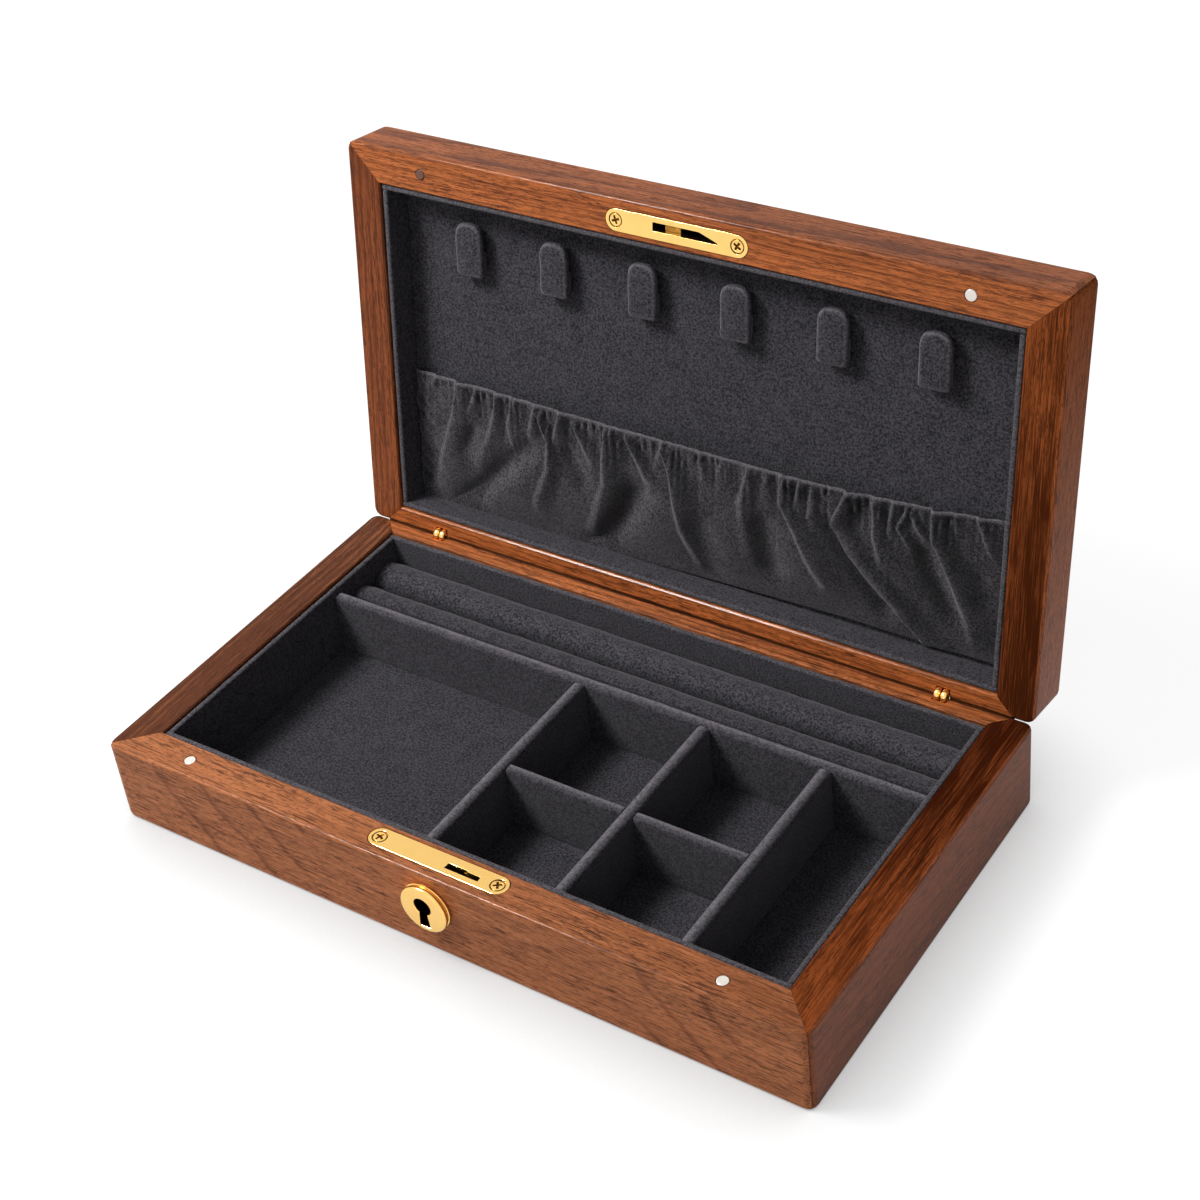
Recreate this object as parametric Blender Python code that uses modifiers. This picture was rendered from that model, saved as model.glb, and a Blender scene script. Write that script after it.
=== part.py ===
"""Wooden jewelry box: a divided tray and a lined lid on two small hinges, with a hook lock.

The tray stands on the ground plane, its middle on the world axis, its front towards -Y.
The lid is built shut and turned open on the hinge axis by its holder.
"""

import math

import bmesh
import bpy
from mathutils import Matrix, Vector

# Case of the tray and the lid
WIDTH = 0.280
DEPTH = 0.1535
BASE_HEIGHT = 0.0335
LID_HEIGHT = 0.0203
SIDE_WALL = 0.014
FRONT_WALL = 0.014
BACK_WALL = 0.007
CORNER_RADIUS = 0.0034
ARRIS_RADIUS = 0.0012
INNER_ARRIS = 0.0005
FIT_GAP = 0.0003
RIM_GAP = 0.0003
PANEL_REBATE = 0.003
BOTTOM_THICKNESS = 0.0034
TOP_THICKNESS = 0.004
TOP_RECESS = 0.0004

# Covered boards that line the wood
LINER = 0.0022
LINER_DROP = 0.0008
LINER_ROUNDING = 0.0009
FLOOR_LINER = 0.0012
RECESS_DEPTH = 0.0125

# Dividers and ring rolls in the tray
DIVIDER_TOP = 0.030
LONG_DIVIDER = 0.0045
CROSS_DIVIDER = 0.0046
SHORT_DIVIDER = 0.0038
SHORT_DIVIDER_DROP = 0.0004
DIVIDER_ROUNDING_SHARE = 1 / 3
RING_TRAY_DEPTH = 0.0334
LEFT_SMALL_CELL = 0.0467
RIGHT_SMALL_CELL = 0.0426
RIGHT_END_CELL = 0.0339
FRONT_CELL_DEPTH = 0.0405
ROLL_TOP = 0.0255
ROLL_END_ROUNDING = 0.0012

# Hinges: two discs side by side on a pin, each with a shank in its wall
HINGE_END_DISTANCE = 0.0335
HINGE_INSET = 0.0006
OPEN_ANGLE = math.radians(98.5)
SHANK_ANGLE = math.radians(57)
KNUCKLE_RADIUS = 0.0028
KNUCKLE_LENGTH = 0.0023
KNUCKLE_ROUNDING = 0.0006
SHANK_RADIUS = 0.0014
SHANK_LENGTH = 0.0072
HINGE_PIN_RADIUS = 0.0007

# Lock plate on the tray and catch plate in the lid
PLATE_LENGTH = 0.0555
PLATE_WIDTH = 0.008
PLATE_THICKNESS = 0.002
PLATE_INSET = 0.008
SCREW_SPACING = 0.0476
SCREW_HEAD_RADIUS = 0.0024
SCREW_HEAD_THICKNESS = 0.0012
SCREW_SINK = 0.0001
SCREW_SHANK_RADIUS = 0.001
SCREW_LENGTH = 0.0095
CROSS_LENGTH = 0.0034
CROSS_WIDTH = 0.0008
CROSS_DEPTH = 0.0006
SLOT_FORWARD = 0.0005
LOCK_SLOT_LEFT = 0.0038
LOCK_SLOT_LENGTH = 0.0132
LOCK_SLOT_WIDTH = 0.0024
LOCK_SLOT_NARROW_WIDTH = 0.0019
LOCK_SLOT_WIDE_SHARE = 0.58
CATCH_SLOT_LEFT = -0.009
CATCH_SLOT_LENGTH = 0.0251
CATCH_SLOT_WIDTH = 0.0031
CATCH_SLOT_END_WIDTH = 0.0006
CATCH_SLOT_FULL_SHARE = 0.72
CATCH_POCKET_DEPTH = 0.0065

# Lock works inside the front wall
CASE_WALL = 0.001
CASE_CLEARANCE = 0.0008
CASE_WIDTH = 0.0074
HOOK_PIVOT_X = -0.0023
HOOK_PIVOT_DEPTH = 0.0065
HOOK_INNER_RADIUS = 0.0112
HOOK_OUTER_RADIUS = 0.0142
HOOK_HUB_RADIUS = 0.0032
HOOK_NOSE = 0.001
HOOK_THICKNESS = 0.0016
HOOK_TIP_ANGLE = math.radians(15.5)
HOOK_ARM_TOP_ANGLE = math.radians(-55)
HOOK_ARM_LOW_ANGLE = math.radians(-82)
PIVOT_RADIUS = 0.0012
KEEPER_LENGTH = 0.006
KEEPER_HEIGHT = 0.0015
KEEPER_LAP = 0.0012

# Keyhole boss on the front and the follower that the key turns
BOSS_RADIUS = 0.0092
BOSS_DROP = 0.0126
BOSS_FLANGE = 0.0009
BOSS_GROOVE = 0.0005
BOSS_GROOVE_DEPTH = 0.0006
BOSS_FACE = 0.0016
BOSS_EDGE = 0.0003
SPIGOT_RADIUS = 0.0083
KEYHOLE_RADIUS = 0.0034
KEYHOLE_RISE = 0.0015
KEYHOLE_SLOT_DROP = 0.0074
KEYHOLE_NECK_WIDTH = 0.0032
KEYHOLE_FOOT_WIDTH = 0.0044
FOLLOWER_RADIUS = 0.0066
FOLLOWER_JOURNAL_RADIUS = 0.0054
FOLLOWER_THICKNESS = 0.0009
FOLLOWER_BORE = 0.0024
FOLLOWER_SLOT_WIDTH = 0.0026
FOLLOWER_SLOT_REACH = 0.0044

# Magnets in the rims and the brown stud that meets the left one
MAGNET_END_DISTANCE = 0.033
MAGNET_INSET = 0.0072
MAGNET_RADIUS = 0.002
MAGNET_DEPTH = 0.003
STUD_RADIUS = 0.0018
STUD_PROUD = 0.00015

# Necklace tabs and the gathered pocket in the lid
TAB_COUNT = 6
TAB_END_ROOM = 0.02495
TAB_FRONT_ROOM = 0.0089
TAB_WIDTH = 0.0116
TAB_LENGTH = 0.0204
TAB_THICKNESS = 0.0032
TAB_STANDOFF = 0.0024
TAB_ROUNDING = 0.0008
TAB_CORNER = 0.0016
TAB_FOOT_WIDTH = 0.008
TAB_FOOT_LENGTH = 0.009
POCKET_REACH = 0.0630
POCKET_CLOTH = 0.0009
POCKET_MOUTH_BULGE = 0.0068
POCKET_BAG_BULGE = 0.0052
POCKET_FOLD_DEPTH = 0.001
POCKET_FOLDS = 11
POCKET_FOLD_SLANT_SHARE = 0.9
POCKET_ACROSS = 44
POCKET_DOWN = 10

# Facets, edges and cuts
ROUND_SEGMENTS = 32
SMALL_SEGMENTS = 20
THIN_SEGMENTS = 12
ARC_STEPS = 5
ARRIS_SEGMENTS = 3
CORNER_SEGMENTS = 4
SOFT_SEGMENTS = 2
ROUND_PROFILE_SHARE = 0.5
SMOOTH_ANGLE = math.radians(35)
ARRIS_ANGLE = math.radians(40)
CUT_OVERRUN = 0.002
MERGE_DISTANCE = 0.000001
MITRE_OVERRUN_SHARE = 1.2

# Places that follow from the sizes above
FRONT_Y = -DEPTH / 2
BACK_Y = DEPTH / 2
INNER_X = WIDTH / 2 - SIDE_WALL
INNER_FRONT_Y = FRONT_Y + FRONT_WALL
INNER_BACK_Y = BACK_Y - BACK_WALL
AXIS_Y = BACK_Y - HINGE_INSET
AXIS_Z = BASE_HEIGHT + RIM_GAP / 2
LID_RIM_Z = BASE_HEIGHT + RIM_GAP
LID_TOP_Z = LID_RIM_Z + LID_HEIGHT
LINED_X = INNER_X - FIT_GAP - LINER
LINED_FRONT_Y = INNER_FRONT_Y + FIT_GAP + LINER
LINED_BACK_Y = INNER_BACK_Y - FIT_GAP - LINER
FLOOR_Z = BOTTOM_THICKNESS + FIT_GAP + FLOOR_LINER
TRAY_Z = FLOOR_Z + FIT_GAP
LID_LINING_Z = LID_RIM_Z + RECESS_DEPTH
LID_PANEL_Z = LID_TOP_Z - TOP_RECESS - TOP_THICKNESS
LONG_DIVIDER_BACK_Y = LINED_BACK_Y - RING_TRAY_DEPTH
LONG_DIVIDER_FRONT_Y = LONG_DIVIDER_BACK_Y - LONG_DIVIDER
HINGE_X = WIDTH / 2 - HINGE_END_DISTANCE
MAGNET_X = WIDTH / 2 - MAGNET_END_DISTANCE
PLATE_Y = FRONT_Y + PLATE_INSET
SLOT_Y = PLATE_Y - SLOT_FORWARD
CASE_TOP_Z = BASE_HEIGHT - PLATE_THICKNESS - FIT_GAP
HOOK_PIVOT_Z = BASE_HEIGHT - HOOK_PIVOT_DEPTH
CASE_FLOOR_Z = HOOK_PIVOT_Z - HOOK_OUTER_RADIUS - CASE_CLEARANCE
CASE_LEFT_X = -FOLLOWER_RADIUS - CASE_CLEARANCE
CASE_RIGHT_X = LOCK_SLOT_LEFT + LOCK_SLOT_LENGTH + CASE_CLEARANCE
CASE_FRONT_Y = PLATE_Y - CASE_WIDTH / 2
CASE_BACK_Y = PLATE_Y + CASE_WIDTH / 2
BOSS_Z = BASE_HEIGHT - BOSS_DROP
BOSS_FACE_Y = FRONT_Y - FIT_GAP - BOSS_FLANGE - BOSS_GROOVE - BOSS_FACE
KEYHOLE_Z = BOSS_Z + KEYHOLE_RISE


# Scene, collections and materials

def clear_scene():
    """Remove every object that the file holds."""
    for thing in list(bpy.data.objects):
        bpy.data.objects.remove(thing, do_unlink=True)


def new_collection(name):
    """Make a collection in the scene."""
    collection = bpy.data.collections.new(name)
    bpy.context.scene.collection.children.link(collection)
    return collection


def new_material(name, colour, roughness, metallic=0.0):
    """Make a Principled material from its base colour, roughness and metallic value."""
    material = bpy.data.materials.new(name)
    material.use_nodes = True
    shader = material.node_tree.nodes["Principled BSDF"]
    shader.inputs["Base Color"].default_value = (*colour, 1.0)
    shader.inputs["Roughness"].default_value = roughness
    shader.inputs["Metallic"].default_value = metallic
    return material


clear_scene()
PARTS = new_collection("jewelry_box")
CUTTERS = new_collection("jewelry_box_cutters")
WALNUT = new_material("walnut", (0.20, 0.085, 0.045), 0.38)
PANEL_WOOD = new_material("walnut_panel", (0.17, 0.075, 0.042), 0.42)
SUEDE = new_material("charcoal_suede", (0.036, 0.034, 0.042), 0.95)
BRASS = new_material("polished_brass", (0.85, 0.58, 0.22), 0.18, 1.0)
STEEL = new_material("magnet_nickel", (0.62, 0.60, 0.56), 0.3, 1.0)
BROWN = new_material("brown_stud", (0.16, 0.075, 0.045), 0.3, 0.4)


# Objects, solids and cuts

def add_object(name, mesh, material=None, holder=None):
    """Put a mesh in the parts, or in the cutters when it has no material."""
    thing = bpy.data.objects.new(name, mesh)
    if material is None:
        CUTTERS.objects.link(thing)
        thing.hide_render = True
        thing.display_type = "WIRE"
    else:
        PARTS.objects.link(thing)
        if not mesh.materials:
            mesh.materials.append(material)
    if holder is not None:
        thing.parent = holder
        thing.matrix_parent_inverse = Matrix.Translation(-holder.location)
    return thing


def smooth(mesh):
    """Shade a round mesh smooth and keep its sharp edges."""
    mesh.shade_smooth()
    mesh.set_sharp_from_angle(angle=SMOOTH_ANGLE)


def mesh_from(name, shape):
    """Turn a bmesh into a mesh."""
    mesh = bpy.data.meshes.new(name)
    shape.to_mesh(mesh)
    shape.free()
    return mesh


def box(name, low, high, material=None, holder=None):
    """Box between its lowest and highest corners."""
    low, high = Vector(low), Vector(high)
    shape = bmesh.new()
    bmesh.ops.create_cube(shape, size=1)
    bmesh.ops.scale(shape, vec=high - low, verts=shape.verts)
    bmesh.ops.translate(shape, vec=(low + high) / 2, verts=shape.verts)
    return add_object(name, mesh_from(name, shape), material, holder)


def rod(name, start, end, radius, material=None, holder=None, segments=SMALL_SEGMENTS):
    """Round bar between two points."""
    start, end = Vector(start), Vector(end)
    run = end - start
    shape = bmesh.new()
    bmesh.ops.create_cone(
        shape, cap_ends=True, segments=segments, radius1=radius, radius2=radius, depth=run.length)
    turn = run.to_track_quat("Z", "Y").to_matrix().to_4x4()
    place = Matrix.Translation((start + end) / 2)
    bmesh.ops.transform(shape, matrix=place @ turn, verts=shape.verts)
    mesh = mesh_from(name, shape)
    smooth(mesh)
    return add_object(name, mesh, material, holder)


# Each plane's matrix takes an outline's own x, y and its thickness direction to the world
OUTLINE_PLANES = {
    "XY": Matrix.Identity(4),
    "XZ": Matrix(((1, 0, 0, 0), (0, 0, -1, 0), (0, 1, 0, 0), (0, 0, 0, 1))),
    "YZ": Matrix(((0, 0, 1, 0), (1, 0, 0, 0), (0, 1, 0, 0), (0, 0, 0, 1))),
}


def slab(name, outline, plane, low, high, material=None, holder=None):
    """Flat outline carried straight from low to high across its plane."""
    curve = bpy.data.curves.new(name, "CURVE")
    curve.dimensions = "2D"
    curve.fill_mode = "BOTH"
    curve.resolution_u = 1
    curve.extrude = (high - low) / 2
    spline = curve.splines.new("POLY")
    spline.points.add(len(outline) - 1)
    for point, place in zip(spline.points, outline):
        point.co = (place[0], place[1], 0, 1)
    spline.use_cyclic_u = True
    guide = bpy.data.objects.new(name, curve)
    CUTTERS.objects.link(guide)
    guide_seen = guide.evaluated_get(bpy.context.evaluated_depsgraph_get())
    mesh = bpy.data.meshes.new_from_object(guide_seen)
    bpy.data.objects.remove(guide)
    bpy.data.curves.remove(curve)
    middle = (low + high) / 2
    across = -middle if plane == "XZ" else middle
    shape = bmesh.new()
    shape.from_mesh(mesh)
    bmesh.ops.remove_doubles(shape, verts=shape.verts, dist=MERGE_DISTANCE)
    bmesh.ops.transform(
        shape, matrix=OUTLINE_PLANES[plane] @ Matrix.Translation((0, 0, across)), verts=shape.verts)
    bmesh.ops.recalc_face_normals(shape, faces=shape.faces)
    shape.to_mesh(mesh)
    shape.free()
    mesh.name = name
    smooth(mesh)
    return add_object(name, mesh, material, holder)


def combine(thing, other, operation="DIFFERENCE"):
    """Cut, join or trim a piece with another solid."""
    change = thing.modifiers.new(operation.lower(), "BOOLEAN")
    change.object = other
    change.operation = operation
    change.solver = "EXACT"


def round_edges(thing, width, segments=ARRIS_SEGMENTS):
    """Round the sharp edges of a piece."""
    change = thing.modifiers.new("rounding", "BEVEL")
    change.width = width
    change.segments = segments
    change.limit_method = "ANGLE"
    change.angle_limit = ARRIS_ANGLE


# Outlines

def arc(centre, radius, start, end, steps=ARC_STEPS):
    """Points of a round stretch about a centre, both ends included."""
    turns = [start + (end - start) * step / steps for step in range(steps + 1)]
    return [
        (centre[0] + radius * math.cos(turn), centre[1] + radius * math.sin(turn))
        for turn in turns]


def stadium(centre, length, width):
    """Outline with two straight sides and two half-round ends, along x."""
    radius = width / 2
    reach = length / 2 - radius
    quarter = math.pi / 2
    right = arc((centre[0] + reach, centre[1]), radius, -quarter, quarter, 2 * ARC_STEPS)
    left = arc((centre[0] - reach, centre[1]), radius, quarter, 3 * quarter, 2 * ARC_STEPS)
    return right + left


def board_section(low, high, bottom, top, rounding):
    """Section of a covered board whose two edges at the top are rounded.

    The top may lie below the bottom, as in the lid, whose liners point down when it is shut.
    """
    up = math.copysign(1, top - bottom)
    quarter = math.pi / 2
    centre = top - up * rounding
    right = arc((high - rounding, centre), rounding, 0, up * quarter)
    left = arc((low + rounding, centre), rounding, up * quarter, up * math.pi)
    return [(low, bottom), (high, bottom)] + right + left


def keyhole(centre_x, round_z, radius, neck_width, foot_width, foot_z):
    """Outline of a round hole over a slot that widens to its foot."""
    neck_angle = math.asin(neck_width / 2 / radius)
    start = -math.pi / 2 + neck_angle
    end = 3 * math.pi / 2 - neck_angle
    head = arc((centre_x, round_z), radius, start, end, 4 * ARC_STEPS)
    return head + [(centre_x - foot_width / 2, foot_z), (centre_x + foot_width / 2, foot_z)]


# Walls of the tray and the lid

def case_block(name, low_z, high_z, holder=None):
    """Whole outer block of a case, its upright corners and then its arrises rounded."""
    shape = bmesh.new()
    bmesh.ops.create_cube(shape, size=1)
    bmesh.ops.scale(shape, vec=(WIDTH, DEPTH, high_z - low_z), verts=shape.verts)
    bmesh.ops.translate(shape, vec=(0, 0, (low_z + high_z) / 2), verts=shape.verts)
    upright = [edge for edge in shape.edges
               if edge.verts[0].co.xy == edge.verts[1].co.xy]
    bmesh.ops.bevel(
        shape, geom=upright, offset=CORNER_RADIUS, segments=CORNER_SEGMENTS,
        profile=ROUND_PROFILE_SHARE, affect="EDGES", offset_type="OFFSET")
    block = add_object(name, mesh_from(name, shape), WALNUT, holder)
    round_edges(block, ARRIS_RADIUS)
    return block


def wall_plan(side):
    """Plan of the room that a mitred wall takes.

    At the front the mitre runs to the outer corner, at the thinner back at 45 degrees.
    """
    seam = FIT_GAP * math.sqrt(2)
    front_x = INNER_X + SIDE_WALL * MITRE_OVERRUN_SHARE
    front_y = INNER_FRONT_Y - FRONT_WALL * MITRE_OVERRUN_SHARE
    back_x = INNER_X + BACK_WALL * MITRE_OVERRUN_SHARE
    back_y = INNER_BACK_Y + BACK_WALL * MITRE_OVERRUN_SHARE
    if side == "front":
        corners = [(front_x - seam, front_y), (INNER_X - seam, INNER_FRONT_Y)]
        return corners + [(-x, y) for x, y in reversed(corners)]
    if side == "back":
        corners = [(INNER_X - seam, INNER_BACK_Y), (back_x - seam, back_y)]
        return corners + [(-x, y) for x, y in reversed(corners)]
    turn = 1 if side == "right" else -1
    corners = [
        (INNER_X, INNER_FRONT_Y), (front_x, front_y), (front_x, back_y), (back_x, back_y),
        (INNER_X, INNER_BACK_Y)]
    return [(turn * x, y) for x, y in corners]


def opening_arris(name, rim_z, into, holder=None):
    """Cutter with sloping sides that breaks the inner edges of a rim."""
    grow = INNER_ARRIS + CUT_OVERRUN
    shape = bmesh.new()
    bmesh.ops.create_cube(shape, size=1)
    deep_z = rim_z + into * INNER_ARRIS
    out_z = rim_z - into * CUT_OVERRUN
    for vertex in shape.verts:
        outer = (vertex.co.z > 0) == (into < 0)
        spread = grow if outer else 0
        vertex.co.x = math.copysign(INNER_X + spread, vertex.co.x)
        vertex.co.y = INNER_BACK_Y + spread if vertex.co.y > 0 else INNER_FRONT_Y - spread
        vertex.co.z = out_z if outer else deep_z
    return add_object(name, mesh_from(name, shape), None, holder)


def build_walls(prefix, low_z, high_z, rim_z, rebate_low, rebate_high, holder=None):
    """Four mitred walls of a case, with a rebate for its panel and a broken inner edge."""
    rebate = box(
        prefix + "_rebate_cutter",
        (-INNER_X - PANEL_REBATE, INNER_FRONT_Y - PANEL_REBATE, rebate_low),
        (INNER_X + PANEL_REBATE, INNER_BACK_Y + PANEL_REBATE, rebate_high), None, holder)
    into = -1 if rim_z == high_z else 1
    arris = opening_arris(prefix + "_arris_cutter", rim_z, into, holder)
    walls = {}
    for side in ("front", "back", "left", "right"):
        name = prefix + "_" + side + "_wall"
        wall = case_block(name, low_z, high_z, holder)
        plan = slab(
            name + "_room", wall_plan(side), "XY", low_z - CUT_OVERRUN, high_z + CUT_OVERRUN,
            None, holder)
        combine(wall, plan, "INTERSECT")
        combine(wall, rebate)
        combine(wall, arris)
        walls[side] = wall
    return walls


def panel(name, low_z, high_z, material, holder=None, grow=0):
    """Flat board that fills the opening of a case, or its rebate when it grows."""
    side = grow - FIT_GAP
    return box(
        name, (-INNER_X - side, INNER_FRONT_Y - side, low_z),
        (INNER_X + side, INNER_BACK_Y + side, high_z), material, holder)


# Covered boards

def build_liners(prefix, bottom_z, rim_z, holder=None):
    """Four covered boards that stand against the walls, the side ones between the others."""
    for name, low, high in (
            ("front", INNER_FRONT_Y + FIT_GAP, LINED_FRONT_Y),
            ("back", LINED_BACK_Y, INNER_BACK_Y - FIT_GAP)):
        section = board_section(low, high, bottom_z, rim_z, LINER_ROUNDING)
        slab(
            prefix + "_liner_" + name, section, "YZ", -INNER_X + FIT_GAP, INNER_X - FIT_GAP,
            SUEDE, holder)
    for name, low, high in (
            ("left", -INNER_X + FIT_GAP, -LINED_X), ("right", LINED_X, INNER_X - FIT_GAP)):
        section = board_section(low, high, bottom_z, rim_z, LINER_ROUNDING)
        slab(
            prefix + "_liner_" + name, section, "XZ", LINED_FRONT_Y + FIT_GAP, LINED_BACK_Y - FIT_GAP,
            SUEDE, holder)


def cross_divider_places():
    """Left face of each of the three dividers that run front to back.

    The cells on the right keep their widths, and the large cell takes what is left.
    """
    right = LINED_X - RIGHT_END_CELL - CROSS_DIVIDER
    middle = right - RIGHT_SMALL_CELL - CROSS_DIVIDER
    left = middle - LEFT_SMALL_CELL - CROSS_DIVIDER
    return {"left": left, "middle": middle, "right": right}


def divider_section(low, thickness, top):
    """Section of a divider from its lower face and thickness, rounded along its top."""
    return board_section(low, low + thickness, TRAY_Z, top, thickness * DIVIDER_ROUNDING_SHARE)


def build_dividers():
    """Long divider, three dividers from it to the front and two short ones between these."""
    section = divider_section(LONG_DIVIDER_FRONT_Y, LONG_DIVIDER, DIVIDER_TOP)
    slab("divider_long", section, "YZ", -LINED_X + FIT_GAP, LINED_X - FIT_GAP, SUEDE)
    places = cross_divider_places()
    for name, left in places.items():
        section = divider_section(left, CROSS_DIVIDER, DIVIDER_TOP)
        slab(
            "divider_" + name, section, "XZ", LINED_FRONT_Y + FIT_GAP,
            LONG_DIVIDER_FRONT_Y - FIT_GAP, SUEDE)
    section = divider_section(
        LINED_FRONT_Y + FRONT_CELL_DEPTH, SHORT_DIVIDER, DIVIDER_TOP - SHORT_DIVIDER_DROP)
    for name, left, right in (("left", "left", "middle"), ("right", "middle", "right")):
        start = places[left] + CROSS_DIVIDER + FIT_GAP
        slab("divider_short_" + name, section, "YZ", start, places[right] - FIT_GAP, SUEDE)


def build_ring_rolls():
    """Two padded bars with round tops that hold rings between them."""
    width = (RING_TRAY_DEPTH - 3 * FIT_GAP) / 2
    for name, low in (
            ("front", LONG_DIVIDER_BACK_Y + FIT_GAP), ("back", LINED_BACK_Y - FIT_GAP - width)):
        centre = (low + width / 2, ROLL_TOP - width / 2)
        crown = arc(centre, width / 2, 0, math.pi, 2 * ARC_STEPS)
        section = [(low, TRAY_Z), (low + width, TRAY_Z)] + crown
        roll = slab(
            "ring_roll_" + name, section, "YZ", -LINED_X + FIT_GAP, LINED_X - FIT_GAP, SUEDE)
        round_edges(roll, ROLL_END_ROUNDING, SOFT_SEGMENTS)


# Hinges

def shank_run(holder):
    """Start and end of a shank, from the hinge axis slanting into its own wall."""
    rise = math.sin(SHANK_ANGLE) * (1 if holder else -1)
    reach = Vector((0, -math.cos(SHANK_ANGLE), rise))
    axis = Vector((0, AXIS_Y, AXIS_Z))
    return axis, axis + reach * SHANK_LENGTH


def hinge_cuts(prefix, wall, side, turn, holder=None):
    """Notch for both discs and the bore for one shank in a back wall."""
    notch = hinge_rod(
        prefix + "_notch_" + side, turn * HINGE_X, 2 * KNUCKLE_LENGTH + 3 * FIT_GAP,
        KNUCKLE_RADIUS + FIT_GAP, None, holder)
    combine(wall, notch)
    along = Vector((hinge_half_x(turn, holder), 0, 0))
    start, end = shank_run(holder)
    bore_end = end + (end - start).normalized() * FIT_GAP
    bore = rod(
        prefix + "_bore_" + side, start + along, bore_end + along, SHANK_RADIUS + FIT_GAP,
        None, holder)
    combine(wall, bore)


def hinge_half_x(turn, holder):
    """Middle of one disc along the pin: the tray's is the outer one."""
    offset = (KNUCKLE_LENGTH + FIT_GAP) / 2
    return turn * (HINGE_X + (-offset if holder else offset))


def hinge_rod(name, middle, length, radius, material=None, holder=None, segments=SMALL_SEGMENTS):
    """Round bar along the hinge axis."""
    return rod(
        name, (middle - length / 2, AXIS_Y, AXIS_Z), (middle + length / 2, AXIS_Y, AXIS_Z),
        radius, material, holder, segments)


def hinge_half(name, side, turn, holder=None):
    """Disc with its shank, bored for the pin."""
    x = hinge_half_x(turn, holder)
    disc = hinge_rod(name + "_" + side, x, KNUCKLE_LENGTH, KNUCKLE_RADIUS, BRASS, holder)
    round_edges(disc, KNUCKLE_ROUNDING, SOFT_SEGMENTS)
    start, end = shank_run(holder)
    along = Vector((x, 0, 0))
    shank = rod(
        name + "_shank_" + side, start + along, end + along, SHANK_RADIUS, None, holder,
        THIN_SEGMENTS)
    combine(disc, shank, "UNION")
    bore = hinge_rod(
        name + "_pin_bore_" + side, x, 2 * KNUCKLE_LENGTH, HINGE_PIN_RADIUS + FIT_GAP, None, holder,
        THIN_SEGMENTS)
    combine(disc, bore)


def build_hinges(base_wall, lid_wall, lid):
    """Both hinges: a disc on each case, side by side on one pin."""
    for side, turn in (("left", -1), ("right", 1)):
        hinge_cuts("base", base_wall, side, turn)
        hinge_cuts("lid", lid_wall, side, turn, lid)
        hinge_half("hinge_base", side, turn)
        hinge_half("hinge_lid", side, turn, lid)
        hinge_rod(
            "hinge_pin_" + side, turn * HINGE_X, 2 * KNUCKLE_LENGTH, HINGE_PIN_RADIUS, BRASS,
            segments=THIN_SEGMENTS)


# Plates, screws, magnets and the stud

def lock_slot():
    """Slot of the lock plate, narrower on the right, where its back edge steps in."""
    left, right = LOCK_SLOT_LEFT, LOCK_SLOT_LEFT + LOCK_SLOT_LENGTH
    step = left + LOCK_SLOT_LENGTH * LOCK_SLOT_WIDE_SHARE
    front = SLOT_Y - LOCK_SLOT_WIDTH / 2
    back = SLOT_Y + LOCK_SLOT_WIDTH / 2
    narrow = front + LOCK_SLOT_NARROW_WIDTH
    return [
        (left, front), (right, front), (right, narrow), (step, narrow), (step, back), (left, back)]


def catch_slot():
    """Slot of the catch plate, whose front edge slants in at its right end."""
    left, right = CATCH_SLOT_LEFT, CATCH_SLOT_LEFT + CATCH_SLOT_LENGTH
    bend = left + CATCH_SLOT_LENGTH * CATCH_SLOT_FULL_SHARE
    front = SLOT_Y - CATCH_SLOT_WIDTH / 2
    back = SLOT_Y + CATCH_SLOT_WIDTH / 2
    return [
        (left, front), (bend, front), (right, back - CATCH_SLOT_END_WIDTH), (right, back),
        (left, back)]


def screw(name, x, face_z, into, holder=None):
    """Screw with a flat head, a cross in it and a plain shank, pointing into the wood."""
    top = face_z + into * SCREW_SINK
    under = top + into * SCREW_HEAD_THICKNESS
    cross_floor = top + into * CROSS_DEPTH
    head = rod(name, (x, PLATE_Y, top), (x, PLATE_Y, under), SCREW_HEAD_RADIUS, BRASS, holder)
    shank = rod(
        name + "_shank", (x, PLATE_Y, (cross_floor + under) / 2),
        (x, PLATE_Y, top + into * SCREW_LENGTH), SCREW_SHANK_RADIUS, None, holder, THIN_SEGMENTS)
    combine(head, shank, "UNION")
    deep, out = sorted((cross_floor, top - into * CUT_OVERRUN))
    for part, long_x, long_y in (
            ("a", CROSS_LENGTH, CROSS_WIDTH), ("b", CROSS_WIDTH, CROSS_LENGTH)):
        bar = box(
            name + "_cross_" + part, (x - long_x / 2, PLATE_Y - long_y / 2, deep),
            (x + long_x / 2, PLATE_Y + long_y / 2, out), None, holder)
        combine(head, bar)


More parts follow.
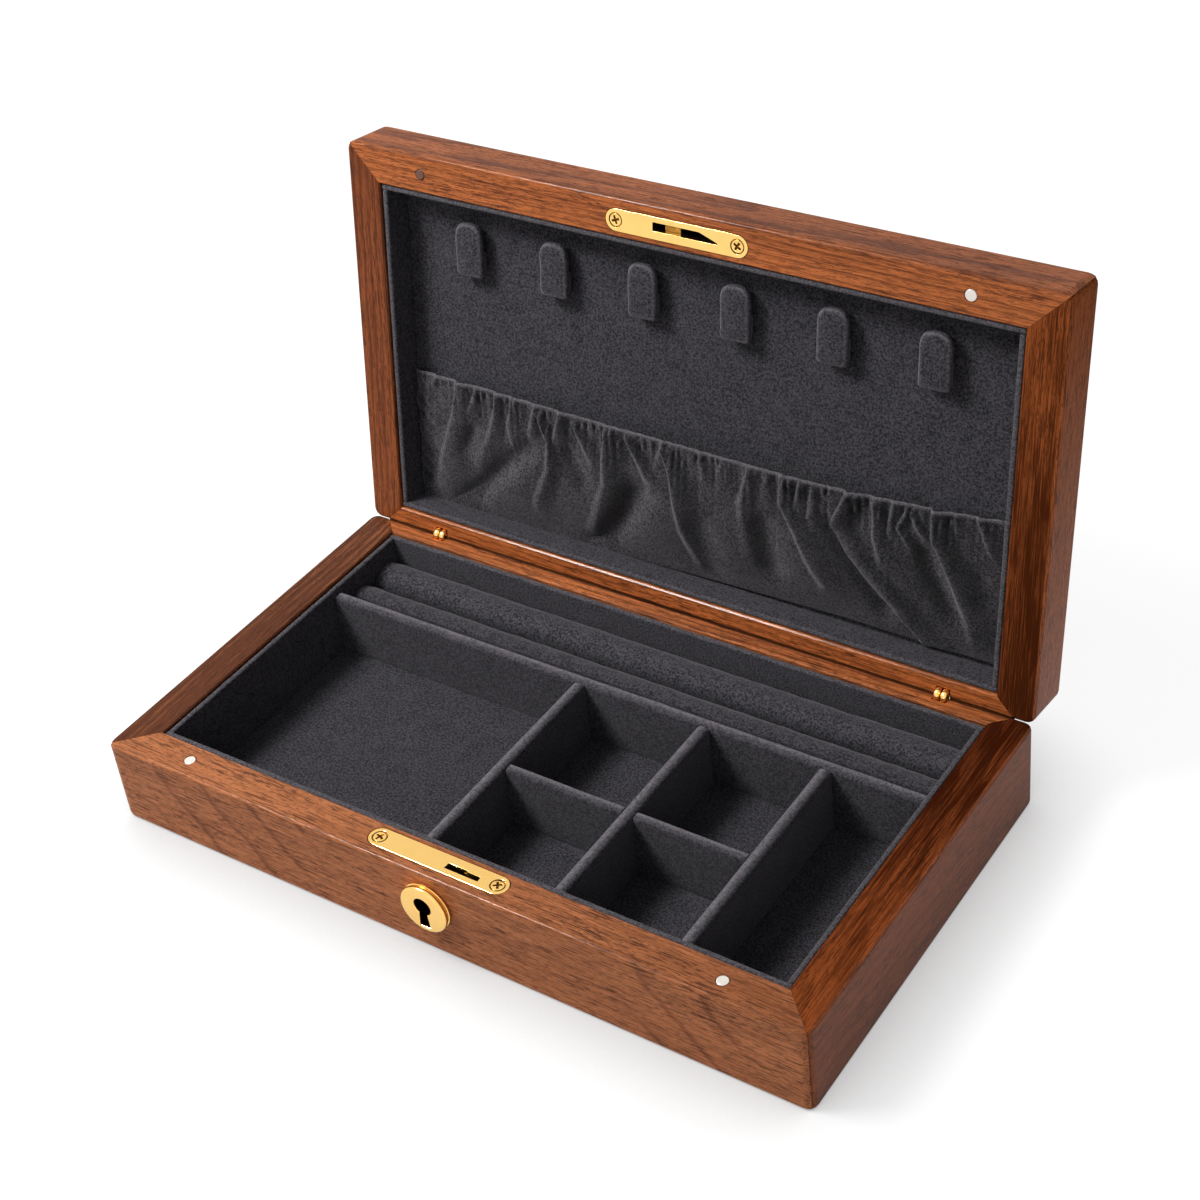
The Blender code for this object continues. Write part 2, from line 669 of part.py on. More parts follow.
def build_plate(prefix, wall, face_z, into, slot, holder=None):
    """Inlaid brass plate with its slot and two screws, and the room for them in the wood."""
    deep_z = face_z + into * PLATE_THICKNESS
    outline = stadium((0, PLATE_Y), PLATE_LENGTH, PLATE_WIDTH)
    plate = slab(prefix + "_plate", outline, "XY", *sorted((face_z, deep_z)), BRASS, holder)
    room = stadium((0, PLATE_Y), PLATE_LENGTH + 2 * FIT_GAP, PLATE_WIDTH + 2 * FIT_GAP)
    span = sorted((face_z - into * CUT_OVERRUN, deep_z + into * FIT_GAP))
    combine(wall, slab(prefix + "_plate_room", room, "XY", *span, None, holder))
    span = sorted((face_z - into * CUT_OVERRUN, deep_z + into * CUT_OVERRUN))
    combine(plate, slab(prefix + "_slot_cutter", slot, "XY", *span, None, holder))
    for side, turn in (("left", -1), ("right", 1)):
        x = turn * SCREW_SPACING / 2
        seat = face_z + into * (SCREW_SINK + SCREW_HEAD_THICKNESS + FIT_GAP)
        sink = rod(
            prefix + "_sink_" + side, (x, PLATE_Y, face_z - into * CUT_OVERRUN), (x, PLATE_Y, seat),
            SCREW_HEAD_RADIUS + FIT_GAP, None, holder)
        combine(plate, sink)
        bore = rod(
            prefix + "_bore_" + side, (x, PLATE_Y, face_z),
            (x, PLATE_Y, face_z + into * (SCREW_LENGTH + SCREW_SINK + FIT_GAP)),
            SCREW_SHANK_RADIUS + FIT_GAP, None, holder, THIN_SEGMENTS)
        combine(plate, bore)
        combine(wall, bore)
        screw(prefix + "_screw_" + side, x, face_z, into, holder)


def rim_disc(name, wall, x, face_z, into, radius, material, proud=0, holder=None):
    """Round piece let into a rim at the front."""
    y = FRONT_Y + MAGNET_INSET
    deep = face_z + into * MAGNET_DEPTH
    disc = rod(name, (x, y, face_z - into * proud), (x, y, deep), radius, material, holder)
    hole = rod(
        name + "_hole", (x, y, face_z - into * CUT_OVERRUN), (x, y, deep + into * FIT_GAP),
        radius + FIT_GAP, None, holder)
    combine(wall, hole)
    return disc


def build_rim_discs(base_wall, lid_wall, lid):
    """Two magnets in the tray's rim, one in the lid's and a low brown stud over the left one."""
    rim_disc("base_magnet_left", base_wall, -MAGNET_X, BASE_HEIGHT, -1, MAGNET_RADIUS, STEEL)
    rim_disc("base_magnet_right", base_wall, MAGNET_X, BASE_HEIGHT, -1, MAGNET_RADIUS, STEEL)
    rim_disc("lid_magnet_right", lid_wall, MAGNET_X, LID_RIM_Z, 1, MAGNET_RADIUS, STEEL, 0, lid)
    rim_disc("lid_stud_left", lid_wall, -MAGNET_X, LID_RIM_Z, 1, STUD_RADIUS, BROWN, STUD_PROUD, lid)


# Lock

def build_lock_case(wall):
    """Open-topped case in the front wall, under the lock plate."""
    low = Vector((CASE_LEFT_X - CASE_WALL, CASE_FRONT_Y, CASE_FLOOR_Z - CASE_WALL))
    high = Vector((CASE_RIGHT_X + CASE_WALL, CASE_BACK_Y, CASE_TOP_Z))
    gap = Vector((FIT_GAP, FIT_GAP, FIT_GAP))
    combine(wall, box("lock_mortise", low - gap, high + gap))
    case = box("lock_case", low, high, BRASS)
    combine(case, box(
        "lock_case_room", (CASE_LEFT_X, CASE_FRONT_Y + CASE_WALL, CASE_FLOOR_Z),
        (CASE_RIGHT_X, CASE_BACK_Y - CASE_WALL, CASE_TOP_Z + CUT_OVERRUN)))
    combine(case, rod(
        "lock_case_key_hole", (0, CASE_FRONT_Y - CUT_OVERRUN, KEYHOLE_Z),
        (0, CASE_FRONT_Y + CASE_WALL + FIT_GAP, KEYHOLE_Z), FOLLOWER_JOURNAL_RADIUS + FIT_GAP))
    combine(case, rod(
        "lock_case_pin_hole", (HOOK_PIVOT_X, CASE_BACK_Y - CASE_WALL - FIT_GAP, HOOK_PIVOT_Z),
        (HOOK_PIVOT_X, CASE_BACK_Y + CUT_OVERRUN, HOOK_PIVOT_Z), PIVOT_RADIUS + FIT_GAP,
        segments=THIN_SEGMENTS))


def hook_outline():
    """Claw about the pivot: a ring piece, the arm that carries it and the hub."""
    centre = (0, 0)
    tip = HOOK_TIP_ANGLE - HOOK_NOSE / HOOK_OUTER_RADIUS
    outer = arc(centre, HOOK_OUTER_RADIUS, HOOK_ARM_LOW_ANGLE, tip, 2 * ARC_STEPS)
    inner = arc(centre, HOOK_INNER_RADIUS, HOOK_TIP_ANGLE, HOOK_ARM_TOP_ANGLE, 2 * ARC_STEPS)
    hub_end = HOOK_ARM_LOW_ANGLE + 2 * math.pi
    hub = arc(centre, HOOK_HUB_RADIUS, HOOK_ARM_TOP_ANGLE, hub_end, 2 * ARC_STEPS)
    return outer + inner + hub


def build_hook():
    """Swinging hook on its pivot pin; its origin lies on the pivot."""
    front = SLOT_Y - HOOK_THICKNESS / 2 + FIT_GAP / 2
    hook = slab("lock_hook", hook_outline(), "XZ", front, front + HOOK_THICKNESS, BRASS)
    hub_end = CASE_BACK_Y - CASE_WALL - FIT_GAP
    hub = rod("lock_hook_hub", (0, front + HOOK_THICKNESS / 2, 0), (0, hub_end, 0), HOOK_HUB_RADIUS)
    bore = rod(
        "lock_hook_bore", (0, front - CUT_OVERRUN, 0), (0, CASE_BACK_Y, 0), PIVOT_RADIUS + FIT_GAP,
        segments=THIN_SEGMENTS)
    for thing in (hook, hub, bore):
        thing.location = (HOOK_PIVOT_X, 0, HOOK_PIVOT_Z)
    combine(hook, hub, "UNION")
    combine(hook, bore)
    rod(
        "lock_pivot_pin", (HOOK_PIVOT_X, front, HOOK_PIVOT_Z),
        (HOOK_PIVOT_X, CASE_BACK_Y, HOOK_PIVOT_Z), PIVOT_RADIUS, BRASS, segments=THIN_SEGMENTS)


def build_follower():
    """Flanged ring that the key turns, running in the front of the lock case."""
    seat = CASE_FRONT_Y + CASE_WALL + FIT_GAP
    end = seat + FOLLOWER_THICKNESS
    follower = rod("key_follower", (0, seat, 0), (0, end, 0), FOLLOWER_RADIUS, BRASS)
    journal = rod(
        "key_follower_journal", (0, CASE_FRONT_Y, 0), (0, (seat + end) / 2, 0),
        FOLLOWER_JOURNAL_RADIUS)
    outline = keyhole(
        0, 0, FOLLOWER_BORE, FOLLOWER_SLOT_WIDTH, FOLLOWER_SLOT_WIDTH, -FOLLOWER_SLOT_REACH)
    hole = slab(
        "key_follower_hole", outline, "XZ", CASE_FRONT_Y - CUT_OVERRUN, end + CUT_OVERRUN)
    for thing in (follower, journal, hole):
        thing.location = (0, 0, KEYHOLE_Z)
    combine(follower, journal, "UNION")
    combine(follower, hole)


def boss_profile():
    """Half section of the boss as radius and distance in front of the wall."""
    spigot_end = CASE_FRONT_Y - FIT_GAP - FRONT_Y
    seat = FIT_GAP
    flange = seat + BOSS_FLANGE
    groove = flange + BOSS_GROOVE
    face = FRONT_Y - BOSS_FACE_Y
    return [
        (0, -spigot_end), (SPIGOT_RADIUS, -spigot_end), (SPIGOT_RADIUS, seat), (BOSS_RADIUS, seat),
        (BOSS_RADIUS, flange), (BOSS_RADIUS - BOSS_GROOVE_DEPTH, flange),
        (BOSS_RADIUS - BOSS_GROOVE_DEPTH, groove), (BOSS_RADIUS, groove), (BOSS_RADIUS, face - BOSS_EDGE),
        (BOSS_RADIUS - BOSS_EDGE, face), (0, face)]


def build_boss(wall):
    """Turned boss with its keyhole, its spigot let into the front wall."""
    shape = bmesh.new()
    corners = [shape.verts.new((radius, 0, reach)) for radius, reach in reversed(boss_profile())]
    for first, second in zip(corners, corners[1:]):
        shape.edges.new((first, second))
    mesh = mesh_from("keyhole_boss", shape)
    boss = add_object("keyhole_boss", mesh, BRASS)
    boss.location = (0, FRONT_Y, BOSS_Z)
    boss.rotation_euler = (math.pi / 2, 0, 0)
    turned = boss.modifiers.new("turned", "SCREW")
    turned.steps = ROUND_SEGMENTS
    turned.render_steps = ROUND_SEGMENTS
    turned.use_merge_vertices = True
    turned.merge_threshold = MERGE_DISTANCE
    outline = keyhole(
        0, KEYHOLE_Z, KEYHOLE_RADIUS, KEYHOLE_NECK_WIDTH, KEYHOLE_FOOT_WIDTH,
        BOSS_Z - KEYHOLE_SLOT_DROP)
    combine(boss, slab("keyhole_cutter", outline, "XZ", BOSS_FACE_Y - CUT_OVERRUN, CASE_FRONT_Y))
    combine(wall, rod(
        "boss_hole", (0, FRONT_Y - CUT_OVERRUN, BOSS_Z), (0, CASE_FRONT_Y, BOSS_Z),
        SPIGOT_RADIUS + FIT_GAP, segments=ROUND_SEGMENTS))


def build_keeper(wall, lid):
    """Brass bar behind the catch plate's slot, and the pocket that the claw swings in."""
    plate_back = LID_RIM_Z + PLATE_THICKNESS
    low_z = plate_back + FIT_GAP
    middle = Vector((HOOK_PIVOT_X, SLOT_Y, low_z + KEEPER_HEIGHT / 2))
    half = Vector((KEEPER_LENGTH, CATCH_SLOT_WIDTH + 2 * KEEPER_LAP, KEEPER_HEIGHT)) / 2
    around = half + Vector((FIT_GAP, FIT_GAP, FIT_GAP))
    box("catch_keeper", middle - half, middle + half, BRASS, lid)
    combine(wall, box("catch_keeper_room", middle - around, middle + around, None, lid))
    combine(wall, box(
        "catch_pocket", (CATCH_SLOT_LEFT, SLOT_Y - CATCH_SLOT_WIDTH / 2, plate_back),
        (CATCH_SLOT_LEFT + CATCH_SLOT_LENGTH, SLOT_Y + CATCH_SLOT_WIDTH / 2,
         plate_back + CATCH_POCKET_DEPTH), None, lid))


# Lid fittings

def tab_outline():
    """Tongue with an arched end towards the lid's front and small corners at its root."""
    half, root = TAB_WIDTH / 2, TAB_LENGTH / 2
    quarter = math.pi / 2
    arch = arc((0, -root + half), half, math.pi, 2 * math.pi, 2 * ARC_STEPS)
    corner_x, corner_y = half - TAB_CORNER, root - TAB_CORNER
    right = arc((corner_x, corner_y), TAB_CORNER, 0, quarter, SOFT_SEGMENTS)
    left = arc((-corner_x, corner_y), TAB_CORNER, quarter, math.pi, SOFT_SEGMENTS)
    return arch + right + left


def build_tabs(lid):
    """Row of padded tabs that stand off the lining on a foot, so that a chain hooks behind."""
    back = LID_LINING_Z - TAB_STANDOFF
    y = LINED_FRONT_Y + TAB_FRONT_ROOM + TAB_LENGTH / 2
    last = LINED_X - TAB_END_ROOM - TAB_WIDTH / 2
    for count in range(TAB_COUNT):
        x = last * (2 * count / (TAB_COUNT - 1) - 1)
        name = "necklace_tab_" + str(count + 1)
        tab = slab(name, tab_outline(), "XY", back - TAB_THICKNESS, back, SUEDE, lid)
        round_edges(tab, TAB_ROUNDING, SOFT_SEGMENTS)
        foot_end = TAB_LENGTH / 2 - TAB_ROUNDING
        foot = box(
            name + "_foot", (-TAB_FOOT_WIDTH / 2, foot_end - TAB_FOOT_LENGTH, back - TAB_THICKNESS / 2),
            (TAB_FOOT_WIDTH / 2, foot_end, LID_LINING_Z - FIT_GAP), None, lid)
        tab.location = foot.location = (x, y, 0)
        combine(tab, foot, "UNION")


def pocket_lift(across, up):
    """Distance of the pocket cloth from the lining, for shares across (-1 to 1) and up (0 to 1)."""
    hold = 1 - across ** 4
    mouth = POCKET_MOUTH_BULGE * up ** 2 * (1 - across ** 2)
    bag = POCKET_BAG_BULGE * math.sin(math.pi * up) ** 2 * hold
    phase = math.pi * (POCKET_FOLDS * across + POCKET_FOLD_SLANT_SHARE * (1 - up))
    fold = POCKET_FOLD_DEPTH * math.sin(phase) * hold * math.sin(math.pi * up / 2)
    return mouth + bag + fold + POCKET_FOLD_DEPTH * hold


def build_pocket(lid):
    """Gathered cloth pocket over the lower half of the lining, its folds in the cloth."""
    root = AXIS_Y - LINED_BACK_Y + FIT_GAP
    half = LINED_X - FIT_GAP - POCKET_CLOTH
    shape = bmesh.new()
    bmesh.ops.create_grid(shape, x_segments=POCKET_ACROSS, y_segments=POCKET_DOWN, size=1)
    rest = LID_LINING_Z - FIT_GAP - POCKET_CLOTH
    for vertex in shape.verts:
        across, up = vertex.co.x, (1 - vertex.co.y) / 2
        vertex.co.x = across * half
        vertex.co.y = AXIS_Y - root - (POCKET_REACH - root) * up
        vertex.co.z = rest - pocket_lift(across, up)
    bmesh.ops.recalc_face_normals(shape, faces=shape.faces)
    pocket = add_object("gathered_pocket", mesh_from("gathered_pocket", shape), SUEDE, lid)
    cloth = pocket.modifiers.new("cloth", "SOLIDIFY")
    cloth.thickness = POCKET_CLOTH
    cloth.offset = 0
    smooth(pocket.data)


# Whole box

def build_base():
    """Tray case with its panel, covered boards, dividers and ring rolls."""
    walls = build_walls(
        "base", 0, BASE_HEIGHT, BASE_HEIGHT, -CUT_OVERRUN, BOTTOM_THICKNESS + FIT_GAP)
    panel("base_bottom_panel", 0, BOTTOM_THICKNESS, PANEL_WOOD, None, PANEL_REBATE)
    panel("base_liner_floor", BOTTOM_THICKNESS + FIT_GAP, FLOOR_Z, SUEDE)
    build_liners("base", TRAY_Z, BASE_HEIGHT - LINER_DROP)
    build_dividers()
    build_ring_rolls()
    return walls


def build_lid(lid):
    """Lid case with its panel, covered boards, tabs and pocket, built shut."""
    walls = build_walls(
        "lid", LID_RIM_Z, LID_TOP_Z, LID_RIM_Z, LID_PANEL_Z - FIT_GAP, LID_TOP_Z + CUT_OVERRUN, lid)
    panel("lid_top_panel", LID_PANEL_Z, LID_TOP_Z - TOP_RECESS, PANEL_WOOD, lid, PANEL_REBATE)
    panel("lid_lining", LID_LINING_Z, LID_PANEL_Z - FIT_GAP, SUEDE, lid)
    build_liners("lid", LID_LINING_Z - FIT_GAP, LID_RIM_Z + LINER_DROP, lid)
    build_tabs(lid)
    build_pocket(lid)
    return walls


def main():
    """Build the box and turn the lid open."""
    lid = bpy.data.objects.new("lid_holder", None)
    PARTS.objects.link(lid)
    lid.location = (0, AXIS_Y, AXIS_Z)
    base_walls = build_base()
    lid_walls = build_lid(lid)
    build_hinges(base_walls["back"], lid_walls["back"], lid)
    build_plate("lock", base_walls["front"], BASE_HEIGHT, -1, lock_slot())
    build_plate("catch", lid_walls["front"], LID_RIM_Z, 1, catch_slot(), lid)
    build_rim_discs(base_walls["front"], lid_walls["front"], lid)
    build_lock_case(base_walls["front"])
    build_hook()
    build_follower()
    build_boss(base_walls["front"])
    build_keeper(lid_walls["front"], lid)
    lid.rotation_euler = (-OPEN_ANGLE, 0, 0)
    bpy.context.view_layer.update()


main()
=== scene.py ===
import math

import bmesh
import bpy
import numpy as np
from bpy.props import FloatProperty, FloatVectorProperty, IntProperty, PointerProperty
from mathutils import Matrix, Vector


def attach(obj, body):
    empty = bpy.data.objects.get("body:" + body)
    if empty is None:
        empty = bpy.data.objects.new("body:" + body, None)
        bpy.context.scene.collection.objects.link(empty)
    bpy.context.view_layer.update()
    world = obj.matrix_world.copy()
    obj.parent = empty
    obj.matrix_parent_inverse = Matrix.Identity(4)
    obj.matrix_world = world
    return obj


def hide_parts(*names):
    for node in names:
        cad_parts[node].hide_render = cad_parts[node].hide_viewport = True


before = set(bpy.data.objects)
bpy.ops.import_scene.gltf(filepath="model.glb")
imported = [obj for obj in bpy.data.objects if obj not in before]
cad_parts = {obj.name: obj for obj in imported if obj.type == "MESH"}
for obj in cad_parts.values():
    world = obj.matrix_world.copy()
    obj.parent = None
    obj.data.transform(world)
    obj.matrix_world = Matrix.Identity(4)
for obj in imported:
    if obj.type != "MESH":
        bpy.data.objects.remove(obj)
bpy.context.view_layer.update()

bl_info = {
    "name": "Jewelry box dressing",
    "version": (1, 0, 0),
    "blender": (4, 5, 0),
    "location": "3D View > Sidebar > Jewelry box",
    "description": "Walnut, suede and brass surfaces for a lined jewelry box",
    "category": "Object",
}

# Sizes of the box, as in its CAD source
WIDTH = 0.280
DEPTH = 0.1535
BASE_HEIGHT = 0.0335
SIDE_WALL = 0.014
FRONT_WALL = 0.014
BACK_WALL = 0.007
ARRIS = 0.0012
FIT_GAP = 0.0003
LINER = 0.0022
LINER_DROP = 0.0008
RECESS_DEPTH = 0.0125
OPEN_ANGLE = math.radians(98.5)
FRONT_Y = -DEPTH / 2
HINGE_Y = DEPTH / 2 - 0.0006
HINGE_Z = BASE_HEIGHT + 0.00015
INNER_X = WIDTH / 2 - SIDE_WALL
INNER_FRONT_Y = FRONT_Y + FRONT_WALL
INNER_BACK_Y = DEPTH / 2 - BACK_WALL
LID_RIM_Z = BASE_HEIGHT + FIT_GAP
LINED_X = INNER_X - FIT_GAP - LINER
LINED_FRONT_Y = INNER_FRONT_Y + FIT_GAP + LINER
LINED_BACK_Y = INNER_BACK_Y - FIT_GAP - LINER
FLOOR_LOW_Z = 0.0037
FLOOR_Z = 0.0049
TRAY_Z = 0.0052
LINING_Z = LID_RIM_Z + RECESS_DEPTH
LINING_BACK_Z = 0.0494

# Dividers and ring rolls
DIVIDER_TOP = 0.030
DIVIDER = 0.0046
LONG_DIVIDER = (0.02935, 0.03385)
SHORT_DIVIDER = (-0.01975, -0.01595)
SHORT_DIVIDER_TOP = 0.0296
CROSS_DIVIDER_X = (-0.0135, 0.0378, 0.0850)
ROLL_TOP = 0.0255
ROLL_WIDTH = 0.01625
ROLL_STARTS = (0.03415, 0.0507)

# Brass pieces, magnets and the stud
HINGE_X = 0.1065
DISC_OFFSET = 0.0013
DISC_LENGTH = 0.0023
DISC_RADIUS = 0.0028
DISC_ROUNDING = 0.0009
SHANK_RADIUS = 0.0014
SHANK_LENGTH = 0.0072
SHANK_ANGLE = math.radians(57)
PLATE_Y = -0.06875
SCREW_X = 0.0238
SCREW_RADIUS = 0.0024
SCREW_SINK = 0.0001
SCREW_DOME = 0.00022
SCREW_LENGTH = 0.0095
SCREW_HEAD = 0.0012
SCREW_SHANK = 0.001
CROSS_REACH = 0.0016
CROSS_HALF = 0.00042
CROSS_DEPTH = 0.0007
BOSS_Z = 0.0209
BOSS_RADIUS = 0.0092
BOSS_FRONT = 0.0033
SPIGOT_RADIUS = 0.0083
SPIGOT_END = 0.0040
KEYHOLE_Z = 0.0224
KEYHOLE_RADIUS = 0.0034
KEYHOLE_NECK = 0.0016
KEYHOLE_FOOT = 0.0022
KEYHOLE_FOOT_Z = 0.0135
MAGNET_X = 0.107
MAGNET_Y = -0.06955
MAGNET_RADIUS = 0.002
MAGNET_DEPTH = 0.003
STUD_RADIUS = 0.0018
STUD_PROUD = 0.00015

# Height of each body's rim and the way from it into the body
RIMS = {"tray": (BASE_HEIGHT, -1), "lid": (LID_RIM_Z, 1)}

# Tabs and the pocket, with distances from the hinge axis
TAB_X = 0.09275
TAB_COUNT = 6
TAB_Y = -0.04115
TAB_WIDTH = 0.0116
TAB_LENGTH = 0.0204
TAB_THICKNESS = 0.0032
TAB_STANDOFF = 0.0024
POCKET_HALF = 0.1223
POCKET_BACK_Y = DEPTH / 2 + 0.0004
CLOTH = 0.0009

# Folds, hollows and slanting swells of the cloth, its crumpled left end and its hem
FOLD_RISE = 0.0011
FOLD_START = 0.003
FOLD_FADE = 0.008
HOLLOW_FADE = 0.010
SWELL_LEAN = 0.35
SWELL_START = 0.064
SWELL_HEIGHT = 0.0005
CRUMPLE = 0.0022
CRUMPLE_REACH = 0.0075
PADDING = 0.0006
HEM_HALF = 0.00032
HEM_THICK = 0.0005

# Facets and small differences
ROUND_SEGMENTS = 96
CORNER_STEPS = 6
TOP_STEPS = 7
END_STEPS = 5
MERGE_DISTANCE = 0.000002
SHARP_ANGLE = math.radians(38)
FLAT_ANGLE = math.radians(0.5)
BREAK_ANGLE = math.radians(50)
PLATE_EDGE = 0.0002
ROD_EDGE = 0.0002
MAGNET_EDGES = (0.0002, 0.00018)
MITRE_CUT = FIT_GAP * math.sqrt(2)
MITRE_NEAR = 0.00002
MITRE_CLOSE = 0.00034
ARRIS_SWELL = 0.00021
MORTISE_HALF = 0.030
MORTISE_DEPTH = 0.0018
MORTISE_MARGIN = 0.002

# Boards, rolls and tabs; a wave is the length of a swell
CASE_ENDS = (-INNER_X + FIT_GAP, INNER_X - FIT_GAP)
BOARD_GAP = 0.0001
BOARD_ROUNDING = 0.0004
BOARD_SWELL = 0.00012
BOARD_WAVE = 0.021
LINER_CROWN = 0.0009
# Liner crowns lighter as wear and painted sheen
LINER_WEAR_AND_SHEEN = 0.42
DIVIDER_CROWN = 0.0015
SHORT_DIVIDER_CROWN = 0.00126
ROLL_SWELL = 0.0003
ROLL_WAVE = 0.013
ROLL_ROUNDING = 0.0016
# Painted shade on the rolls from a depth under their top over a fade; their suede a lighter copy as
# painted light
ROLL_SHADE_START = 0.0012
ROLL_SHADE_FADE = 0.0040
ROLL_PAINTED_LIGHT = 1.3
TAB_CROWN = 0.00035
TAB_SWELL = 0.00015
TAB_WAVE = 0.009
TAB_CORNER = 0.0016
TAB_FACE_INSET = 0.0053
HEEL_LENGTH = 0.0098
HEEL_SLOPE = 0.0008


# Shapes in numpy

def arc(centre, radius, start, end, steps):
    """Points of a round stretch: the centre plus the radius times cosine and sine of even turns."""
    turn = np.linspace(start, end, steps)
    return np.stack([centre[0] + radius * np.cos(turn), centre[1] + radius * np.sin(turn)], axis=-1)


def filled(outline, spacing):
    """Closed outline with more points on its long sides.

    Corners stay, and between them come points at even steps of the length gone round.
    """
    closed = np.vstack([outline, outline[:1]])
    gone = np.concatenate([[0], np.cumsum(np.linalg.norm(np.diff(closed, axis=0), axis=1))])
    keep = np.concatenate([[True], np.diff(gone) > MERGE_DISTANCE])
    gone, closed = gone[keep], closed[keep]
    wanted = np.union1d(gone, np.arange(0, gone[-1], spacing))
    wanted = wanted[np.concatenate([np.diff(wanted) > spacing / 20, [False]])]
    return np.stack([np.interp(wanted, gone, closed[:, side]) for side in (0, 1)], axis=-1)


def board_outline(low, high, foot, crown_end, foot_radius, crown_radius, spacing=0.003):
    """Section of a board with four round corners: quarter circles set in from the two ends.

    The crown may lie above or below the foot.
    """
    up = math.copysign(1, crown_end - foot)
    quarter = up * math.pi / 2
    foot_z, crown_z = foot + up * foot_radius, crown_end - up * crown_radius
    from_high, to_low = high - crown_radius, low + crown_radius
    corners = [
        arc((high - foot_radius, foot_z), foot_radius, -quarter, 0, 4),
        arc((from_high, crown_z), crown_radius, 0, quarter, CORNER_STEPS),
        np.linspace((from_high, crown_end), (to_low, crown_end), TOP_STEPS)[1:-1],
        arc((to_low, crown_z), crown_radius, quarter, 2 * quarter, CORNER_STEPS),
        arc((low + foot_radius, foot_z), foot_radius, 2 * quarter, 3 * quarter, 4)]
    return filled(np.vstack(corners), spacing)


def unevenness(points, size, seed):
    """Gentle swell of a surface: the mean of eight sine waves of about one length.

    Each wave is the sine of the point's place along a set direction over that length.
    """
    chance = np.random.default_rng(seed)
    directions = chance.normal(size=(8, 3))
    phases = chance.uniform(0, 2 * math.pi, 8)
    return np.sin(points @ directions.T * (2 * math.pi / size) + phases).mean(axis=-1)


def bar_rings(section, start, end, rounding, along, spacing=0.005):
    """Section carried along an axis, its ends drawn in on quarter circles.

    At each place the section is scaled about its middle by one less the inset over its half size.
    """
    turn = np.linspace(0, math.pi / 2, END_STEPS)
    reach, inset = rounding * (1 - np.cos(turn)), rounding * (1 - np.sin(turn))
    count = max(2, int((end - start - 2 * rounding) / spacing))
    middle = np.linspace(start + rounding, end - rounding, count)[1:-1]
    places = np.concatenate([start + reach, middle, (end - reach)[::-1]])
    insets = np.concatenate([inset, np.zeros(len(middle)), inset[::-1]])
    low, high = section.min(axis=0), section.max(axis=0)
    centre, half = (low + high) / 2, (high - low) / 2
    shrink = 1 - insets[:, None] / half
    across = centre + (section - centre)[None] * shrink[:, None]
    rings = np.empty((len(places), len(section), 3))
    rings[..., 0 if along == "x" else 1] = places[:, None]
    rings[..., [1, 2] if along == "x" else [0, 2]] = across
    return rings


def opened(points, angle=OPEN_ANGLE):
    """Points of the shut lid turned about the hinge axis to where the lid stands open.

    Measured from the axis, y becomes y cos a + z sin a, and z becomes z cos a - y sin a.
    """
    cos, sin = math.cos(angle), math.sin(angle)
    y, z = points[..., 1] - HINGE_Y, points[..., 2] - HINGE_Z
    return np.stack(
        [points[..., 0], HINGE_Y + y * cos + z * sin, HINGE_Z + z * cos - y * sin], axis=-1)


def on_body(points, body):
    """Points of the shut box where they lie at rest: those of the lid are opened."""
    return opened(points) if body == "lid" else points


def turned_rings(profile, origin, axis, segments=ROUND_SEGMENTS):
    """Half section of radius and height turned about an axis through the origin point.

    Each ring is the origin, plus the height along the axis, plus the radius times a unit circle.
    """
    axis = np.array(axis, float)
    side = np.cross(axis, (0, 0, 1.0) if abs(axis[2]) < 0.5 else (0, 1.0, 0))
    side /= np.linalg.norm(side)
    other = np.cross(axis, side)
    turn = np.linspace(0, 2 * math.pi, segments, endpoint=False)
    circle = np.cos(turn)[:, None] * side + np.sin(turn)[:, None] * other
    radius, height = np.array(profile, float).T[..., None, None]
    return np.array(origin, float) + height * axis + radius * circle


def rounded_profile(radius, low, high, low_round, high_round):
    """Half section of a disc from its low to its high face, each outer corner a quarter circle."""
    quarter = math.pi / 2
    lower = arc((radius - low_round, low + low_round), low_round, -quarter, 0, CORNER_STEPS)
    upper = arc((radius - high_round, high - high_round), high_round, 0, quarter, CORNER_STEPS)
    inner = (radius - max(low_round, high_round)) * 0.5
    return np.vstack([[(inner, low)], lower, upper, [(inner, high)]])


# Meshes and objects

def ring_faces(rows, columns, joined):
    """Quads between neighbouring closed rings, and from the last ring to the first if joined."""
    row = np.arange(rows if joined else rows - 1)[:, None]
    column = np.arange(columns)[None]
    ahead = (column + 1) % columns
    above = (row + 1) % rows
    corners = [row * columns + column, row * columns + ahead, above * columns + ahead,
               above * columns + column]
    return np.stack(corners, axis=-1).reshape(-1, 4)


def shell_parts(rings, joined):
    """Points and faces of one closed shell; open ends get a fan about the mean of their ring."""
    rows, columns = rings.shape[:2]
    points = rings.reshape(-1, 3)
    quads = ring_faces(rows, columns, joined)
    fans = np.empty((0, 3), int)
    if not joined:
        points = np.vstack([points, rings[0].mean(axis=0), rings[-1].mean(axis=0)])
        column = np.arange(columns)
        ahead = (column + 1) % columns
        pole, last = np.full(columns, rows * columns), (rows - 1) * columns
        fans = np.vstack([
            np.stack([ahead, column, pole], axis=-1),
            np.stack([last + column, last + ahead, pole + 1], axis=-1)])
    halves = np.vstack([quads[:, :3], quads[:, [0, 2, 3]], fans])
    corners = points[halves] - points.mean(axis=0)
    volume = np.einsum("ij,ij->i", corners[:, 0], np.cross(corners[:, 1], corners[:, 2])).sum()
    if volume < 0:
        quads, fans = quads[:, ::-1], fans[:, ::-1]
    return points, quads, fans


def shell_mesh(name, shells, joined=False):
    """One mesh from closed shells, each given as its rings; joined ones have no open ends."""
    all_points, faces, offset = [], [], 0
    for rings in shells:
        points, quads, fans = shell_parts(rings, joined)
        all_points.append(points)
        faces += (quads + offset).tolist() + (fans + offset).tolist()
        offset += len(points)
    mesh = bpy.data.meshes.new(name)
    mesh.from_pydata(np.vstack(all_points).tolist(), [], faces)
    return mesh


